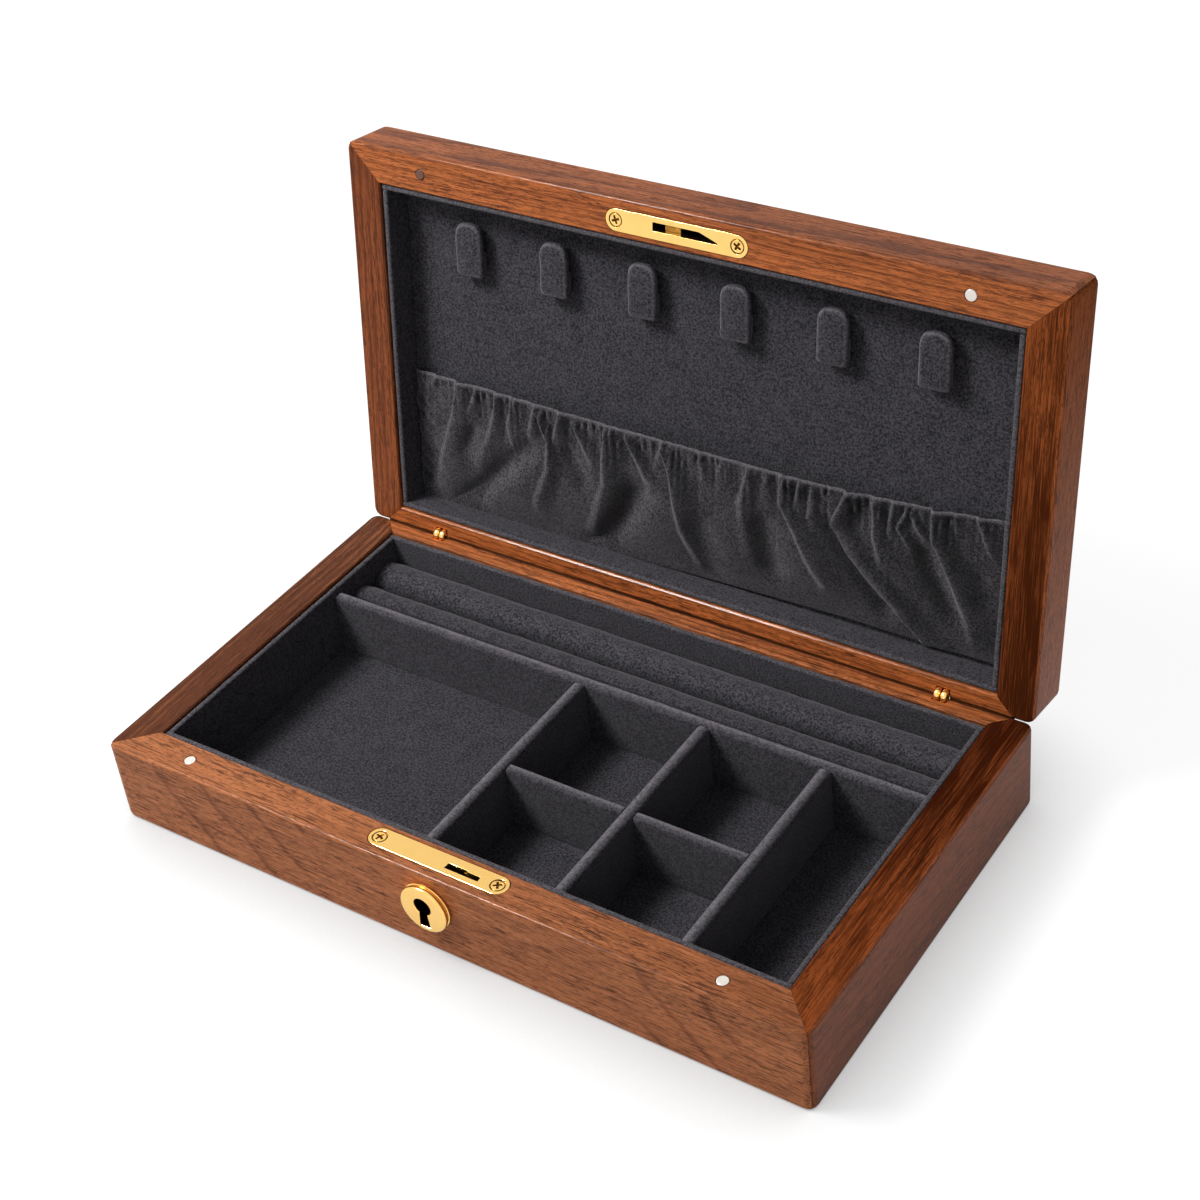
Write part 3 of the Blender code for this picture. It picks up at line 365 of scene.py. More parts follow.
def add_piece(name, mesh, material, body, *nodes, slot=None, sharp=SHARP_ANGLE):
    """Put a mesh in the scene on its body, in place of the CAD nodes that it stands for."""
    mesh.materials.clear()
    mesh.materials.append(material)
    mesh.shade_smooth()
    mesh.set_sharp_from_angle(angle=sharp)
    piece = bpy.data.objects.new(name, mesh)
    bpy.context.scene.collection.objects.link(piece)
    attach(piece, body)
    if nodes:
        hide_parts(*nodes)
    return piece


def store(mesh, name, values):
    """Store one number for each point of a mesh under a name, zero past the end of the values."""
    stored = np.zeros(len(mesh.vertices))
    stored[:len(values)] = values
    mesh.attributes.new(name, "FLOAT", "POINT").data.foreach_set("value", stored)


def add_shells(name, ending, material, body, slot, *shells, joined=False, **stored):
    """Piece made of closed shells in place of one CAD node, with numbers stored on its points."""
    mesh = shell_mesh(name, shells, joined)
    for label, values in stored.items():
        store(mesh, label, values.ravel())
    return add_piece(name + ending, mesh, material, body, name, slot=slot)


def smooth_copy(node, material, body, slot, bevel=0.0):
    """Copy of a CAD node: triangles merged, round edges smooth and sharp ones broken."""
    shape = bmesh.new()
    shape.from_mesh(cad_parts[node].data)
    bmesh.ops.remove_doubles(shape, verts=shape.verts, dist=MERGE_DISTANCE)
    bmesh.ops.dissolve_limit(shape, angle_limit=FLAT_ANGLE, verts=shape.verts, edges=shape.edges)
    mesh = bpy.data.meshes.new(node + "_smooth")
    shape.to_mesh(mesh)
    shape.free()
    if "custom_normal" in mesh.attributes:
        mesh.attributes.remove(mesh.attributes["custom_normal"])
    piece = add_piece(node + "_smooth", mesh, material, body, node, slot=slot)
    if bevel:
        change = piece.modifiers.new("broken edges", "BEVEL")
        change.width = bevel
        change.segments = 2
        change.limit_method = "ANGLE"
        change.angle_limit = BREAK_ANGLE
        change.use_clamp_overlap = True
    weighted = piece.modifiers.new("weighted normals", "WEIGHTED_NORMAL")
    weighted.keep_sharp = True
    return piece


def close_joints(mesh, body):
    """Bring a front or back wall to a hair's width from the side walls and from the other case.

    Where the distance past the inner corner is the same across and along, less the mitre's cut, the
    point lies on a mitre and moves outwards by most of that cut. The round arris at the hinges
    swells by the sine of twice its angle, and is stored as the dark bottom of the joint. So are the
    points deep inside the mortises of the lock and of the catch.
    """
    points = np.empty(len(mesh.vertices) * 3)
    mesh.vertices.foreach_get("co", points)
    points = points.reshape(-1, 3)
    shut = opened(points, -OPEN_ANGLE) if body == "lid" else points.copy()
    past = np.maximum(INNER_FRONT_Y - shut[:, 1], shut[:, 1] - INNER_BACK_Y)
    on = np.abs(np.abs(points[:, 0]) - INNER_X - past + MITRE_CUT) < MITRE_NEAR
    shut[:, 0] += np.where(on, np.sign(points[:, 0]) * MITRE_CLOSE, 0)
    rim, into = RIMS[body]
    out, rise = shut[:, 1] - (DEPTH / 2 - ARRIS), into * (rim - shut[:, 2]) + ARRIS
    angle = np.arctan2(rise, out)
    on_arris = np.abs(np.hypot(out, rise) - ARRIS) < MITRE_NEAR
    round_edge = on_arris & (angle > 0) & (angle < math.pi / 2)
    swell = np.where(round_edge, ARRIS_SWELL * np.sin(2 * angle), 0)
    shut[:, 1] += swell * np.cos(angle)
    shut[:, 2] -= into * swell * np.sin(angle)
    mesh.vertices.foreach_set("co", on_body(shut, body).ravel())
    # Painted shade at the bottom of the hinges' groove, strongest mid-way round the arris
    arris_shade = np.clip((math.radians(88) - angle) / 0.2, 0, 1) * np.clip((angle - 0.1) / 0.2, 0, 1)
    # Points deep inside the mortises get painted shade too
    in_wall = (shut[:, 1] > FRONT_Y + MORTISE_MARGIN) & (
        shut[:, 1] < INNER_FRONT_Y - MORTISE_MARGIN)
    deep = into * (shut[:, 2] - rim) > MORTISE_DEPTH
    mortise_shade = in_wall & deep & (np.abs(shut[:, 0]) < MORTISE_HALF)
    store(mesh, "joint", np.where(round_edge, arris_shade, mortise_shade))


def dress(node, material):
    """Give a CAD node that stays in sight its material."""
    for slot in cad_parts[node].material_slots:
        slot.material = material


# Materials

class NodeTree:
    """Adds nodes to one tree: a value that is a socket is joined, any other is set."""

    def __init__(self, tree):
        self.tree = tree

    def add(self, kind, inputs=None, output=0, **settings):
        """Add a node and give back one of its outputs."""
        node = self.tree.nodes.new("ShaderNode" + kind)
        for name, value in settings.items():
            setattr(node, name, value)
        self.feed(node, inputs or {})
        return node.outputs[output] if node.outputs else node

    def feed(self, node, inputs):
        """Join or set the inputs of a node, by name or by number."""
        for key, value in inputs.items():
            if isinstance(value, bpy.types.NodeSocket):
                self.tree.links.new(value, node.inputs[key])
            else:
                node.inputs[key].default_value = value

    def maths(self, operation, first, second=0.0, third=0.0, clamp=False):
        """Add a Math node."""
        return self.add(
            "Math", {0: first, 1: second, 2: third}, operation=operation, use_clamp=clamp)

    def mix(self, share, first, second, blend="MIX"):
        """Mix two colours."""
        return self.add(
            "Mix", {0: share, 6: first, 7: second}, output=2, data_type="RGBA", blend_type=blend)

    def fit(self, value, from_low, from_high, to_low=0.0, to_high=1.0, kind="LINEAR"):
        """Carry a value from one range to another."""
        return self.add(
            "MapRange", {0: value, 1: from_low, 2: from_high, 3: to_low, 4: to_high},
            interpolation_type=kind, clamp=True)

    def place(self, vector, scale=(1, 1, 1), turn=(0, 0, 0), shift=(0, 0, 0)):
        """Scale, turn and shift a vector."""
        return self.add(
            "Mapping", {"Vector": vector, "Scale": scale, "Rotation": turn, "Location": shift})

    def noise(self, vector, along, across, detail=2.0, roughness=0.5):
        """Add a noise pattern with one fineness along x and another across it."""
        placed = self.place(vector, (along, across, across))
        return self.add(
            "TexNoise", {"Vector": placed, "Scale": 1.0, "Detail": detail, "Roughness": roughness})

    def sway(self, value, weight, base, clamp=False):
        """Add to a base the weight times how far a value lies from one half."""
        off = self.maths("SUBTRACT", value, 0.5)
        return self.maths("MULTIPLY_ADD", off, weight, base, clamp)

    def split(self, vector):
        """Take a vector apart into its three numbers."""
        return self.add("SeparateXYZ", {0: vector}).node.outputs

    def stored(self, name):
        """Read the number that the mesh stores under a name."""
        return self.add("Attribute", output=2, attribute_name=name)


def colour(value):
    """Colour with its alpha."""
    return (*value, 1.0)


def scaled(value, by):
    """Colour made darker or lighter."""
    return [by * part for part in value]


def new_group(name, inputs, outputs):
    """Make a shader node group from its sockets' names, listed by kind, with its nodes' ends."""
    group = bpy.data.node_groups.new(name, "ShaderNodeTree")
    for in_out, sockets in (("INPUT", inputs), ("OUTPUT", outputs)):
        for kind, labels in sockets.items():
            for label in labels:
                group.interface.new_socket(
                    name=label, in_out=in_out, socket_type="NodeSocket" + kind)
    source = group.nodes.new("NodeGroupInput")
    return NodeTree(group), source.outputs, group.nodes.new("NodeGroupOutput")


def walnut_group(name):
    """Walnut: growth rings about a slanted heart, broad tones, fibres and short dark pores.

    The ring value is the distance from the heart line, plus the slant times the place along the
    grain, plus noise, over the ring width. Pores are a noise stretched along it, cut off high.
    """
    tree, given, target = new_group(
        name,
        {"Vector": ("Vector", "Heart"), "Color": ("Pale", "Deep", "Pore"),
         "Float": ("Ring Width", "Slant", "Wander", "Ring Strength", "Ring Sharpness", "Tone",
                   "Streaks", "Pore Strength")},
        {"Color": ("Color",), "Float": ("Roughness", "Height")})
    grain = given["Vector"]
    along, *sides = tree.split(
        tree.add("VectorMath", {0: grain, 1: given["Heart"]}, operation="SUBTRACT"))
    squares = [tree.maths("POWER", tree.maths("ABSOLUTE", side), 2.0) for side in sides]
    distance = tree.maths("SQRT", tree.maths("ADD", *squares))
    run = tree.maths("MULTIPLY_ADD", along, given["Slant"], distance)
    run = tree.sway(tree.noise(grain, 11, 55, 3.0), given["Wander"], run)
    fine_wander = tree.maths("MULTIPLY", given["Wander"], FINE_WANDER)
    run = tree.sway(tree.noise(grain, 45, 320), fine_wander, run)
    year = tree.maths("FRACT", tree.maths("DIVIDE", run, given["Ring Width"]))
    late = tree.fit(year, 0.35, 0.92, kind="SMOOTHSTEP")
    late = tree.maths("POWER", late, given["Ring Sharpness"])
    ring = tree.maths("MULTIPLY", late, tree.fit(year, 0.94, 1.0, 1.0, 0.0))
    fibre = tree.noise(grain, 60, 2100, 2.0, 0.6)
    long_pores = tree.fit(tree.noise(grain, 120, 1900, 2.0, 0.6), 0.53, 0.62, kind="SMOOTHSTEP")
    shifted = tree.place(grain, shift=(0.3, 0.7, 0.2))
    short_pores = tree.fit(tree.noise(shifted, 430, 2900, 1.0), 0.55, 0.65, kind="SMOOTHSTEP")
    pores = tree.maths("MAXIMUM", long_pores, tree.maths("MULTIPLY", short_pores, 0.8))
    crowd = tree.fit(tree.noise(grain, 22, 190), 0.36, 0.62, 0.65, 1.0)
    pores = tree.maths("MULTIPLY", pores, crowd)
    share = tree.maths("MULTIPLY_ADD", ring, given["Ring Strength"], given["Tone"])
    share = tree.sway(tree.noise(grain, 9, 60, 3.0, 0.55), BROAD_TONES, share)
    share = tree.sway(tree.noise(grain, 24, 520, 3.0, 0.6), given["Streaks"], share)
    share = tree.sway(fibre, FIBRE_TONES, share, clamp=True)
    wood = tree.mix(share, given["Pale"], given["Deep"])
    wood = tree.mix(tree.maths("MULTIPLY", pores, given["Pore Strength"]), wood, given["Pore"])
    rough = tree.maths("MULTIPLY_ADD", fibre, 0.16, 0.27)
    rough = tree.maths("MULTIPLY_ADD", pores, 0.25, rough)
    height = tree.maths("MULTIPLY_ADD", fibre, 0.35, tree.maths("MULTIPLY", pores, -1.0))
    tree.feed(target, {"Color": wood, "Roughness": rough, "Height": height})


def nap_group(name):
    """Suede nap: soft clouds where the nap lies another way, over short fibres.

    The share is one part of cloudy noise, one of speckle and one of single bright fibres. How the
    cloth leans makes the whole nap lighter or darker.
    """
    tree, given, target = new_group(
        name,
        {"Vector": ("Vector",), "Color": ("Dark", "Light", "Edge Color"),
         "Float": ("Edge", "Painted Light")},
        {"Color": ("Color",), "Float": ("Height",)})
    place = given["Vector"]
    clouds = tree.noise(place, 150, 150)
    speckle = tree.noise(place, 1250, 1250, 3.0, 0.75)
    hairs = tree.noise(place, 4200, 4200, 1.0)
    share = tree.sway(clouds, 0.5, 0.5)
    share = tree.sway(speckle, 4.6, share)
    share = tree.sway(hairs, 0.8, share, clamp=True)
    cloth = tree.mix(share, given["Dark"], given["Light"])
    # Painted light and shade: the stored value scales the colour lighter or darker
    gain = tree.maths("MULTIPLY_ADD", given["Painted Light"], 0.80, 1.0)
    cloth = tree.add("VectorMath", {0: cloth, "Scale": gain}, operation="SCALE")
    # Edges lighter as wear and painted sheen
    rubbed = tree.maths("MULTIPLY", given["Edge"], tree.fit(speckle, 0.36, 0.62, 0.3, 1.0))
    cloth = tree.mix(rubbed, cloth, given["Edge Color"])
    height = tree.maths("MULTIPLY_ADD", clouds, 0.6, tree.maths("MULTIPLY", speckle, 0.5))
    height = tree.maths("MULTIPLY_ADD", hairs, 0.25, height)
    tree.feed(target, {"Color": cloth, "Height": height})


def polish_group(name):
    """Polish marks: broad smudges and hair-fine scratches, as roughness and height."""
    tree, given, target = new_group(
        name,
        {"Vector": ("Vector",), "Color": ("Color", "Dull Color"), "Float": ("Gloss",)},
        {"Color": ("Color",), "Float": ("Roughness", "Height")})
    place = given["Vector"]
    smudges = tree.noise(place, 160, 160, 3.0)
    lines = tree.noise(place, 260, 5200)
    rough = tree.maths("MULTIPLY_ADD", smudges, 0.10, given["Gloss"])
    rough = tree.maths("MULTIPLY_ADD", lines, 0.05, rough)
    shade = tree.mix(tree.fit(smudges, 0.42, 0.75, 0.0, 0.6), given["Color"], given["Dull Color"])
    tree.feed(target, {"Color": shade, "Roughness": rough, "Height": lines})


def new_material(name):
    """Make a material with its Principled shader, its tree and its place on the object."""
    material = bpy.data.materials.new(name)
    material.use_nodes = True
    tree = NodeTree(material.node_tree)
    shader = material.node_tree.nodes["Principled BSDF"]
    place = tree.add("TexCoord", output=3)
    return material, tree, shader, place


def use_group(tree, name, build, inputs):
    """Place a node group in a tree, and build it if it is not there yet."""
    if name not in bpy.data.node_groups:
        build(name)
    node = tree.tree.nodes.new("ShaderNodeGroup")
    node.node_tree = bpy.data.node_groups[name]
    tree.feed(node, inputs)
    return node.outputs


def bump(tree, height, distance):
    """Turn a height into a normal."""
    return tree.add("Bump", {"Height": height, "Distance": distance})


# Grain of each wooden piece: turns that lay it along x, the place of its heart, ring width, slant,
# wander, tone at its start and end along x, the same on its rim, tone of its outer face, streaks,
# strength of its rings, its own pale or deep colour, varnish at the start and end of its outer face
# where only that face has any, where its figure shows, by middle and half, whether its groove at
# the hinges and its mortises get painted shade, and whether a painted shade line lies beside the
# hinges' groove
GRAIN = {
    "base_front_wall": dict(
        joint_shaded=True, heart=(0.0, -0.0668, 0.036), ring=0.0200, slant=-0.90, wander=0.014,
        tones=(0.27, 0.24), rim=(0.03, 0.48), sharp=11.0,
        figure=((-0.087, 0.034), (0.098, 0.020))),
    "base_back_wall": dict(
        joint_shaded=True, groove_shaded=True, heart=(0.0, 0.11, 0.05), ring=0.0024, slant=0.012,
        wander=0.004, tones=(0.20, 0.22), pale=(0.66, 0.205, 0.062)),
    "base_left_wall": dict(
        side=True, heart=(0.0, 0.20, 0.075), ring=0.0026, slant=0.02, wander=0.006,
        tones=(1.02, 0.88), deep=(0.135, 0.040, 0.016)),
    "base_right_wall": dict(
        side=True, heart=(0.03, -0.125, 0.0), ring=0.0042, slant=0.10, wander=0.014,
        tones=(0.38, 1.0), streaks=0.75, rings=0.18, outer=0.12, outer_varnish=(0.31, 0.31),
        pale=(0.47, 0.117, 0.031), deep=(0.055, 0.010, 0.0025)),
    "base_bottom_panel": dict(
        heart=(0.0, 0.03, -0.05), ring=0.006, slant=0.05, wander=0.02, tones=(0.35, 0.35)),
    "lid_front_wall": dict(
        lid=True, joint_shaded=True, heart=(0.0, -0.05, 0.11), ring=0.0025, slant=0.02, wander=0.006,
        tones=(0.15, 0.10), outer=0.40, pale=(0.62, 0.180, 0.052)),
    "lid_back_wall": dict(
        lid=True, joint_shaded=True, heart=(0.0, 0.14, 0.02), ring=0.0026, slant=0.015, wander=0.005,
        tones=(0.16, 0.26), pale=(0.66, 0.190, 0.050)),
    "lid_left_wall": dict(
        side=True, lid=True, heart=(0.0, 0.19, 0.06), ring=0.003, slant=0.03, wander=0.008,
        tones=(0.72, 0.38), pale=(0.47, 0.125, 0.034)),
    "lid_right_wall": dict(
        side=True, lid=True, heart=(0.0, -0.14, 0.0), ring=0.004, slant=0.08, wander=0.012,
        tones=(0.63, 0.95), streaks=0.45, rings=0.12, outer=0.0, outer_varnish=(0.02, 0.36),
        pale=(0.62, 0.165, 0.045), deep=(0.075, 0.016, 0.004)),
    "lid_top_panel": dict(
        lid=True, heart=(0.0, 0.0, -0.03), ring=0.006, slant=0.06, wander=0.02, tones=(0.35, 0.35)),
}

# Where the side walls start along their grain, then strengths and depths of the patterns
LID_SIDE_START = -0.1974
SIDE_START = -0.077
FIGURE_STRENGTH = 0.42
STREAKS = 0.8
FINE_WANDER = 0.12
BROAD_TONES = 0.75
FIBRE_TONES = 1.2
WOOD_SHINE = 0.04
VARNISH_ROUGHNESS = 0.12
# Colour of the painted shade in the hinges' groove and in the mortises
JOINT_SHADE_COLOUR = (0.004, 0.0015, 0.0008)
GRIME = (0.13, 0.05, 0.008)
SCRATCH_DEPTH = 0.000004


def wood_material(node):
    """Walnut for one wooden piece, with the grain along the piece."""
    looks, grain = bpy.context.scene.box_wood, GRAIN[node]
    lid, side = grain.get("lid"), grain.get("side")
    material, tree, shader, place = new_material(node + "_walnut")
    along = tree.place(place, turn=(OPEN_ANGLE if lid else 0, 0, -math.pi / 2 if side else 0))
    x, y, z = tree.split(along)
    start, length, outside = -WIDTH / 2, WIDTH, LID_SIDE_START
    if side:
        start, length, outside = LID_SIDE_START if lid else SIDE_START, DEPTH, -WIDTH / 2
    to_end = (x, start, start + length)
    to_outside = (y, outside + ARRIS, outside + 0.4 * ARRIS)
    to_rim = (z, BASE_HEIGHT - ARRIS, BASE_HEIGHT - 0.4 * ARRIS)
    tone = tree.fit(*to_end, *grain["tones"])
    if "outer" in grain:
        tone = tree.fit(*to_outside, tone, grain["outer"])
    strength = 0.0 if "figure" in grain else grain.get("rings", looks.ring_strength)
    for middle, half in grain.get("figure", ()):
        away = tree.maths("ABSOLUTE", tree.maths("SUBTRACT", x, middle))
        shown = tree.fit(away, half * 0.7, half * 1.3, FIGURE_STRENGTH, 0.0)
        strength = tree.maths("MAXIMUM", strength, shown)
    if "rim" in grain:
        tone = tree.fit(*to_rim, tone, tree.fit(*to_end, *grain["rim"]))
        strength = tree.fit(*to_rim, strength, 0.0)
    varnish, shine = looks.varnish, WOOD_SHINE
    if "outer_varnish" in grain:
        varnish = tree.fit(*to_outside, 0.0, tree.fit(*to_end, *grain["outer_varnish"]))
        shine = 0.0
    wood = use_group(tree, "walnut_grain", walnut_group, {
        "Vector": along, "Heart": grain["heart"], "Pale": colour(grain.get("pale", looks.pale)),
        "Deep": colour(grain.get("deep", looks.deep)), "Pore": colour(looks.pore),
        "Ring Width": grain["ring"], "Slant": grain["slant"], "Wander": grain["wander"],
        "Ring Strength": strength, "Ring Sharpness": grain.get("sharp", 1.0), "Tone": tone,
        "Streaks": grain.get("streaks", STREAKS), "Pore Strength": looks.pore_strength})
    tree.feed(shader, {
        "Base Color": wood["Color"], "Roughness": wood["Roughness"], "Specular IOR Level": shine,
        "Coat Weight": varnish, "Coat Roughness": VARNISH_ROUGHNESS,
        "Normal": bump(tree, wood["Height"], looks.pore_depth)})
    # Painted shade in the hinges' groove and the mortises: darker colour and no varnish there
    if "joint_shaded" in grain:
        joint = tree.stored("joint")
        # Painted shade line on the rim beside the hinges' groove
        if "groove_shaded" in grain:
            groove = DEPTH / 2 - ARRIS - 0.0003
            groove_shade = tree.fit(y, groove - 0.0004, groove, 0.0, 0.85)
            at_rim = tree.fit(z, BASE_HEIGHT - 0.0006, BASE_HEIGHT - 0.0002)
            joint = tree.maths("MAXIMUM", joint, tree.maths("MULTIPLY", groove_shade, at_rim))
        tree.feed(shader, {
            "Base Color": tree.mix(joint, wood["Color"], colour(JOINT_SHADE_COLOUR)),
            "Coat Weight": tree.maths("MULTIPLY_ADD", joint, -looks.varnish, looks.varnish)})
    return material


def suede_material(name, dark, light, sheen=0.35):
    """Suede or velvet with a lighter nap on its rubbed edges."""
    if name in bpy.data.materials:
        return bpy.data.materials[name]
    looks = bpy.context.scene.box_suede
    material, tree, shader, place = new_material(name)
    cloth = use_group(tree, "suede_nap", nap_group, {
        "Vector": place, "Dark": colour(dark), "Light": colour(light),
        "Edge Color": colour(looks.edge), "Edge": tree.stored("rubbed"),
        "Painted Light": tree.stored("lean")})
    tree.feed(shader, {
        "Base Color": cloth["Color"], "Roughness": 0.95, "Specular IOR Level": 0.15,
        "Sheen Weight": sheen, "Sheen Roughness": 0.45, "Sheen Tint": colour(looks.sheen_colour),
        "Normal": bump(tree, cloth["Height"], looks.nap_height)})
    return material


def metal_material(name, base, dull, gloss, metallic=1.0, grime=None):
    """Polished metal with faint smudges and scratches, and with dark grime where it is stored."""
    if name in bpy.data.materials:
        return bpy.data.materials[name]
    material, tree, shader, place = new_material(name)
    metal = use_group(tree, "polish_marks", polish_group, {
        "Vector": place, "Color": colour(base), "Dull Color": colour(dull), "Gloss": gloss})
    shade = metal["Color"]
    if grime:
        shade = tree.mix(tree.stored("grime"), shade, colour(grime))
    tree.feed(shader, {
        "Base Color": shade, "Metallic": metallic, "Roughness": metal["Roughness"],
        "Normal": bump(tree, metal["Height"], SCRATCH_DEPTH)})
    return material


def brass_material(name="polished_brass_finish", grime=None):
    """Polished brass of the plates and hinges, or with grime for the screws and the boss."""
    looks = bpy.context.scene.box_metal
    return metal_material(name, looks.brass, looks.brass_dull, looks.brass_gloss, grime=grime)


# Settings

def tint(name, description, default):
    """Setting for a colour."""
    return FloatVectorProperty(
        name=name, description=description, subtype="COLOR", size=3, min=0, max=1,
        default=default)


def factor(name, description, default):
    """Setting between nothing and all."""
    return FloatProperty(
        name=name, description=description, subtype="FACTOR", min=0, max=1, default=default)


def small_length(name, description, default, most):
    """Setting for a length of up to a few millimetres."""
    return FloatProperty(
        name=name, description=description, subtype="DISTANCE", unit="LENGTH", min=0, max=most,
        precision=6, default=default)


def view_angle(name, description, default):
    """Setting for an angle."""
    return FloatProperty(
        name=name, description=description, subtype="ANGLE", unit="ROTATION", default=default)


def lamp_power(name, description, default):
    """Setting for the power of a lamp."""
    return FloatProperty(
        name=name, description=description, subtype="POWER", unit="POWER", min=0, max=200,
        default=default)


class WoodSettings(bpy.types.PropertyGroup):
    """Colours and finish of the walnut."""

    pale: tint("Pale wood", "Colour of the light wood", (0.580, 0.205, 0.080))
    deep: tint("Deep wood", "Colour of the dark wood", (0.160, 0.042, 0.014))
    pore: tint("Pores", "Colour of the pores", (0.060, 0.018, 0.008))
    ring_strength: factor("Growth rings", "How strongly the rings show", 0.42)
    pore_strength: factor("Pore darkness", "How strongly the pores show", 0.80)
    varnish: factor("Varnish", "Weight of the clear coat", 0.09)
    pore_depth: small_length("Pore depth", "Depth of the pores", 0.00005, 0.001)


class SuedeSettings(bpy.types.PropertyGroup):
    """Colours of the suede and of the pocket."""

    dark: tint("Dark nap", "Darkest colour of the suede", (0.005, 0.0046, 0.0064))
    light: tint("Light nap", "Lightest colour of the suede", (0.075, 0.0705, 0.083))
    # Colour mixed in along the edges, as wear and painted sheen
    edge: tint("Worn and sheen edge", "Colour of the nap along the edges", (0.215, 0.198, 0.222))
    pocket_dark: tint("Dark velvet", "Darkest colour of the pocket", (0.003, 0.0028, 0.0034))
    pocket_light: tint("Light velvet", "Lightest colour of the pocket", (0.079, 0.073, 0.082))
    sheen_colour: tint("Sheen", "Colour of the sheen", (0.56, 0.53, 0.57))
    nap_height: small_length("Nap height", "Height of the nap", 0.00025, 0.002)


class MetalSettings(bpy.types.PropertyGroup):
    """Colours and polish of the brass, the magnets and the stud."""

    brass: tint("Brass", "Colour of the brass", (0.94, 0.60, 0.195))
    brass_dull: tint("Dull brass", "Colour of the brass where it is touched", (0.90, 0.55, 0.165))
    brass_gloss: factor("Brass roughness", "Least roughness of the brass", 0.10)
    magnet: tint("Magnet", "Colour of the magnets", (0.92, 0.86, 0.78))
    stud: tint("Stud", "Colour of the stud", (0.150, 0.055, 0.028))


class PocketSettings(bpy.types.PropertyGroup):
    """Shape of the gathered pocket."""

    mouth_bulge: small_length("Mouth", "How far the mouth stands off the lining", 0.0056, 0.008)
    bag_bulge: small_length("Bag", "How far the bag swells", 0.0036, 0.006)
    fold: small_length("Folds", "Height of the full folds", 0.0023, 0.004)
    hollow: small_length("Hollows", "Depth of the hollows between the folds", 0.0022, 0.004)
    gather: small_length("Gathers", "Height of the small gathers under the hem", 0.0005, 0.002)
    columns: IntProperty(
        name="Columns", description="Cloth points across the pocket", min=60, max=600, default=500)
    rows: IntProperty(
        name="Rows", description="Cloth points from the seam to the mouth", min=20, max=120,
        default=94)


class StageSettings(bpy.types.PropertyGroup):
    """Camera, lamps and floor."""

    camera_place: FloatVectorProperty(
        name="Camera", description="Place of the camera", subtype="TRANSLATION", unit="LENGTH",
        size=3, default=(0.3713, -0.446618, 0.529202))
    elevation: view_angle("Elevation", "Angle of the camera's view down", 0.622)
    azimuth: view_angle("Azimuth", "Turn of the camera from the front to the right", 0.666)
    roll: view_angle("Roll", "Tilt of the camera about its view", -0.129)
    focal_length: FloatProperty(
        name="Focal length", description="Focal length in millimetres", min=10, max=300,
        default=67.0)
    key: lamp_power("Key lamp", "Power of the soft lamp at the upper left", 8.6)
    fill: lamp_power("Fill lamp", "Power of the lamp in front", 2.0)
    glint: lamp_power("Edge lamp", "Power of the lamp that only reflections see", 16.0)
    sky: FloatProperty(
        name="Sky", description="Strength of the even light all round", min=0, max=2, default=0.21)
    shadow_share: factor("Shadow", "How much of the floor's shadow the camera sees", 0.30)
    floor_glow: factor("Floor glow", "White that the camera adds to the floor", 0.89)


# Walls and panels

class BOX_OT_walls(bpy.types.Operator):
    """Lay smooth walnut walls over the two mitred frames and dress the two panels"""

    bl_idname = "jewelry_box.walls"
    bl_label = "Walnut walls and panels"

    def execute(self, context):
        for case, body in (("base", "tray"), ("lid", "lid")):
            for side in ("front", "back", "left", "right"):
                node = case + "_" + side + "_wall"
                wall = smooth_copy(node, wood_material(node), body, "walnut")
                if side in ("front", "back"):
                    close_joints(wall.data, body)
        for node in ("base_bottom_panel", "lid_top_panel"):
            dress(node, wood_material(node))
        return {"FINISHED"}


# Covered boards

def add_board(
        name, body, along, sides, heights, ends, crown, seed, wear_and_sheen_strength=0.0, far=None, near_shade=0.0,
        foot=0.0002):
    """Covered board: a section carried along an axis, made slightly uneven.

    Its rubbed edge is one less the distance from the crown over the crown's radius, times the wear.
    Where one side is the far one, the wear grows across the top towards it, and the nap on the near
    part of the top leans away by the dimming.
    """
    section = board_outline(*sides, *heights, foot, crown)
    rings = bar_rings(section, *ends, BOARD_ROUNDING, along)
    top = np.clip(1 - np.abs(heights[1] - rings[..., 2]) / crown, 0, 1)
    rubbed, lean = wear_and_sheen_strength * top, 0 * top
    if far is not None:
        near = sum(sides) - far
        way = (rings[..., 1 if along == "x" else 0] - near) / (far - near)
        lean = -near_shade * top * np.interp(way, (0.45, 0.62), (1, 0))
        rubbed = rubbed * np.interp(way, (0, 0.33, 0.47, 0.60), (0.17, 0.38, 0.65, 1.15))
    swell = unevenness(rings, BOARD_WAVE, seed) * BOARD_SWELL
    rings = on_body(rings + swell[..., None] * np.array((1, 1, 0.6)), body)
    looks = bpy.context.scene.box_suede
    suede = suede_material("charcoal_suede_board", looks.dark, looks.light)
    add_shells(name, "_suede", suede, body, "charcoal_suede", rings, rubbed=rubbed, lean=lean)


def add_liners(prefix, body, heights, seed):
    """Four covered boards against the walls, the side ones between the others."""
    short = (LINED_FRONT_Y + BOARD_GAP, LINED_BACK_Y - BOARD_GAP)
    for count, (side, along, sides, ends) in enumerate((
            ("front", "x", (INNER_FRONT_Y + FIT_GAP, LINED_FRONT_Y), CASE_ENDS),
            ("back", "x", (LINED_BACK_Y, INNER_BACK_Y - FIT_GAP), CASE_ENDS),
            ("left", "y", (-INNER_X + FIT_GAP, -LINED_X), short),
            ("right", "y", (LINED_X, INNER_X - FIT_GAP), short))):
        add_board(
            prefix + "_liner_" + side, body, along, sides, heights, ends, LINER_CROWN,
            seed + count, LINER_WEAR_AND_SHEEN)


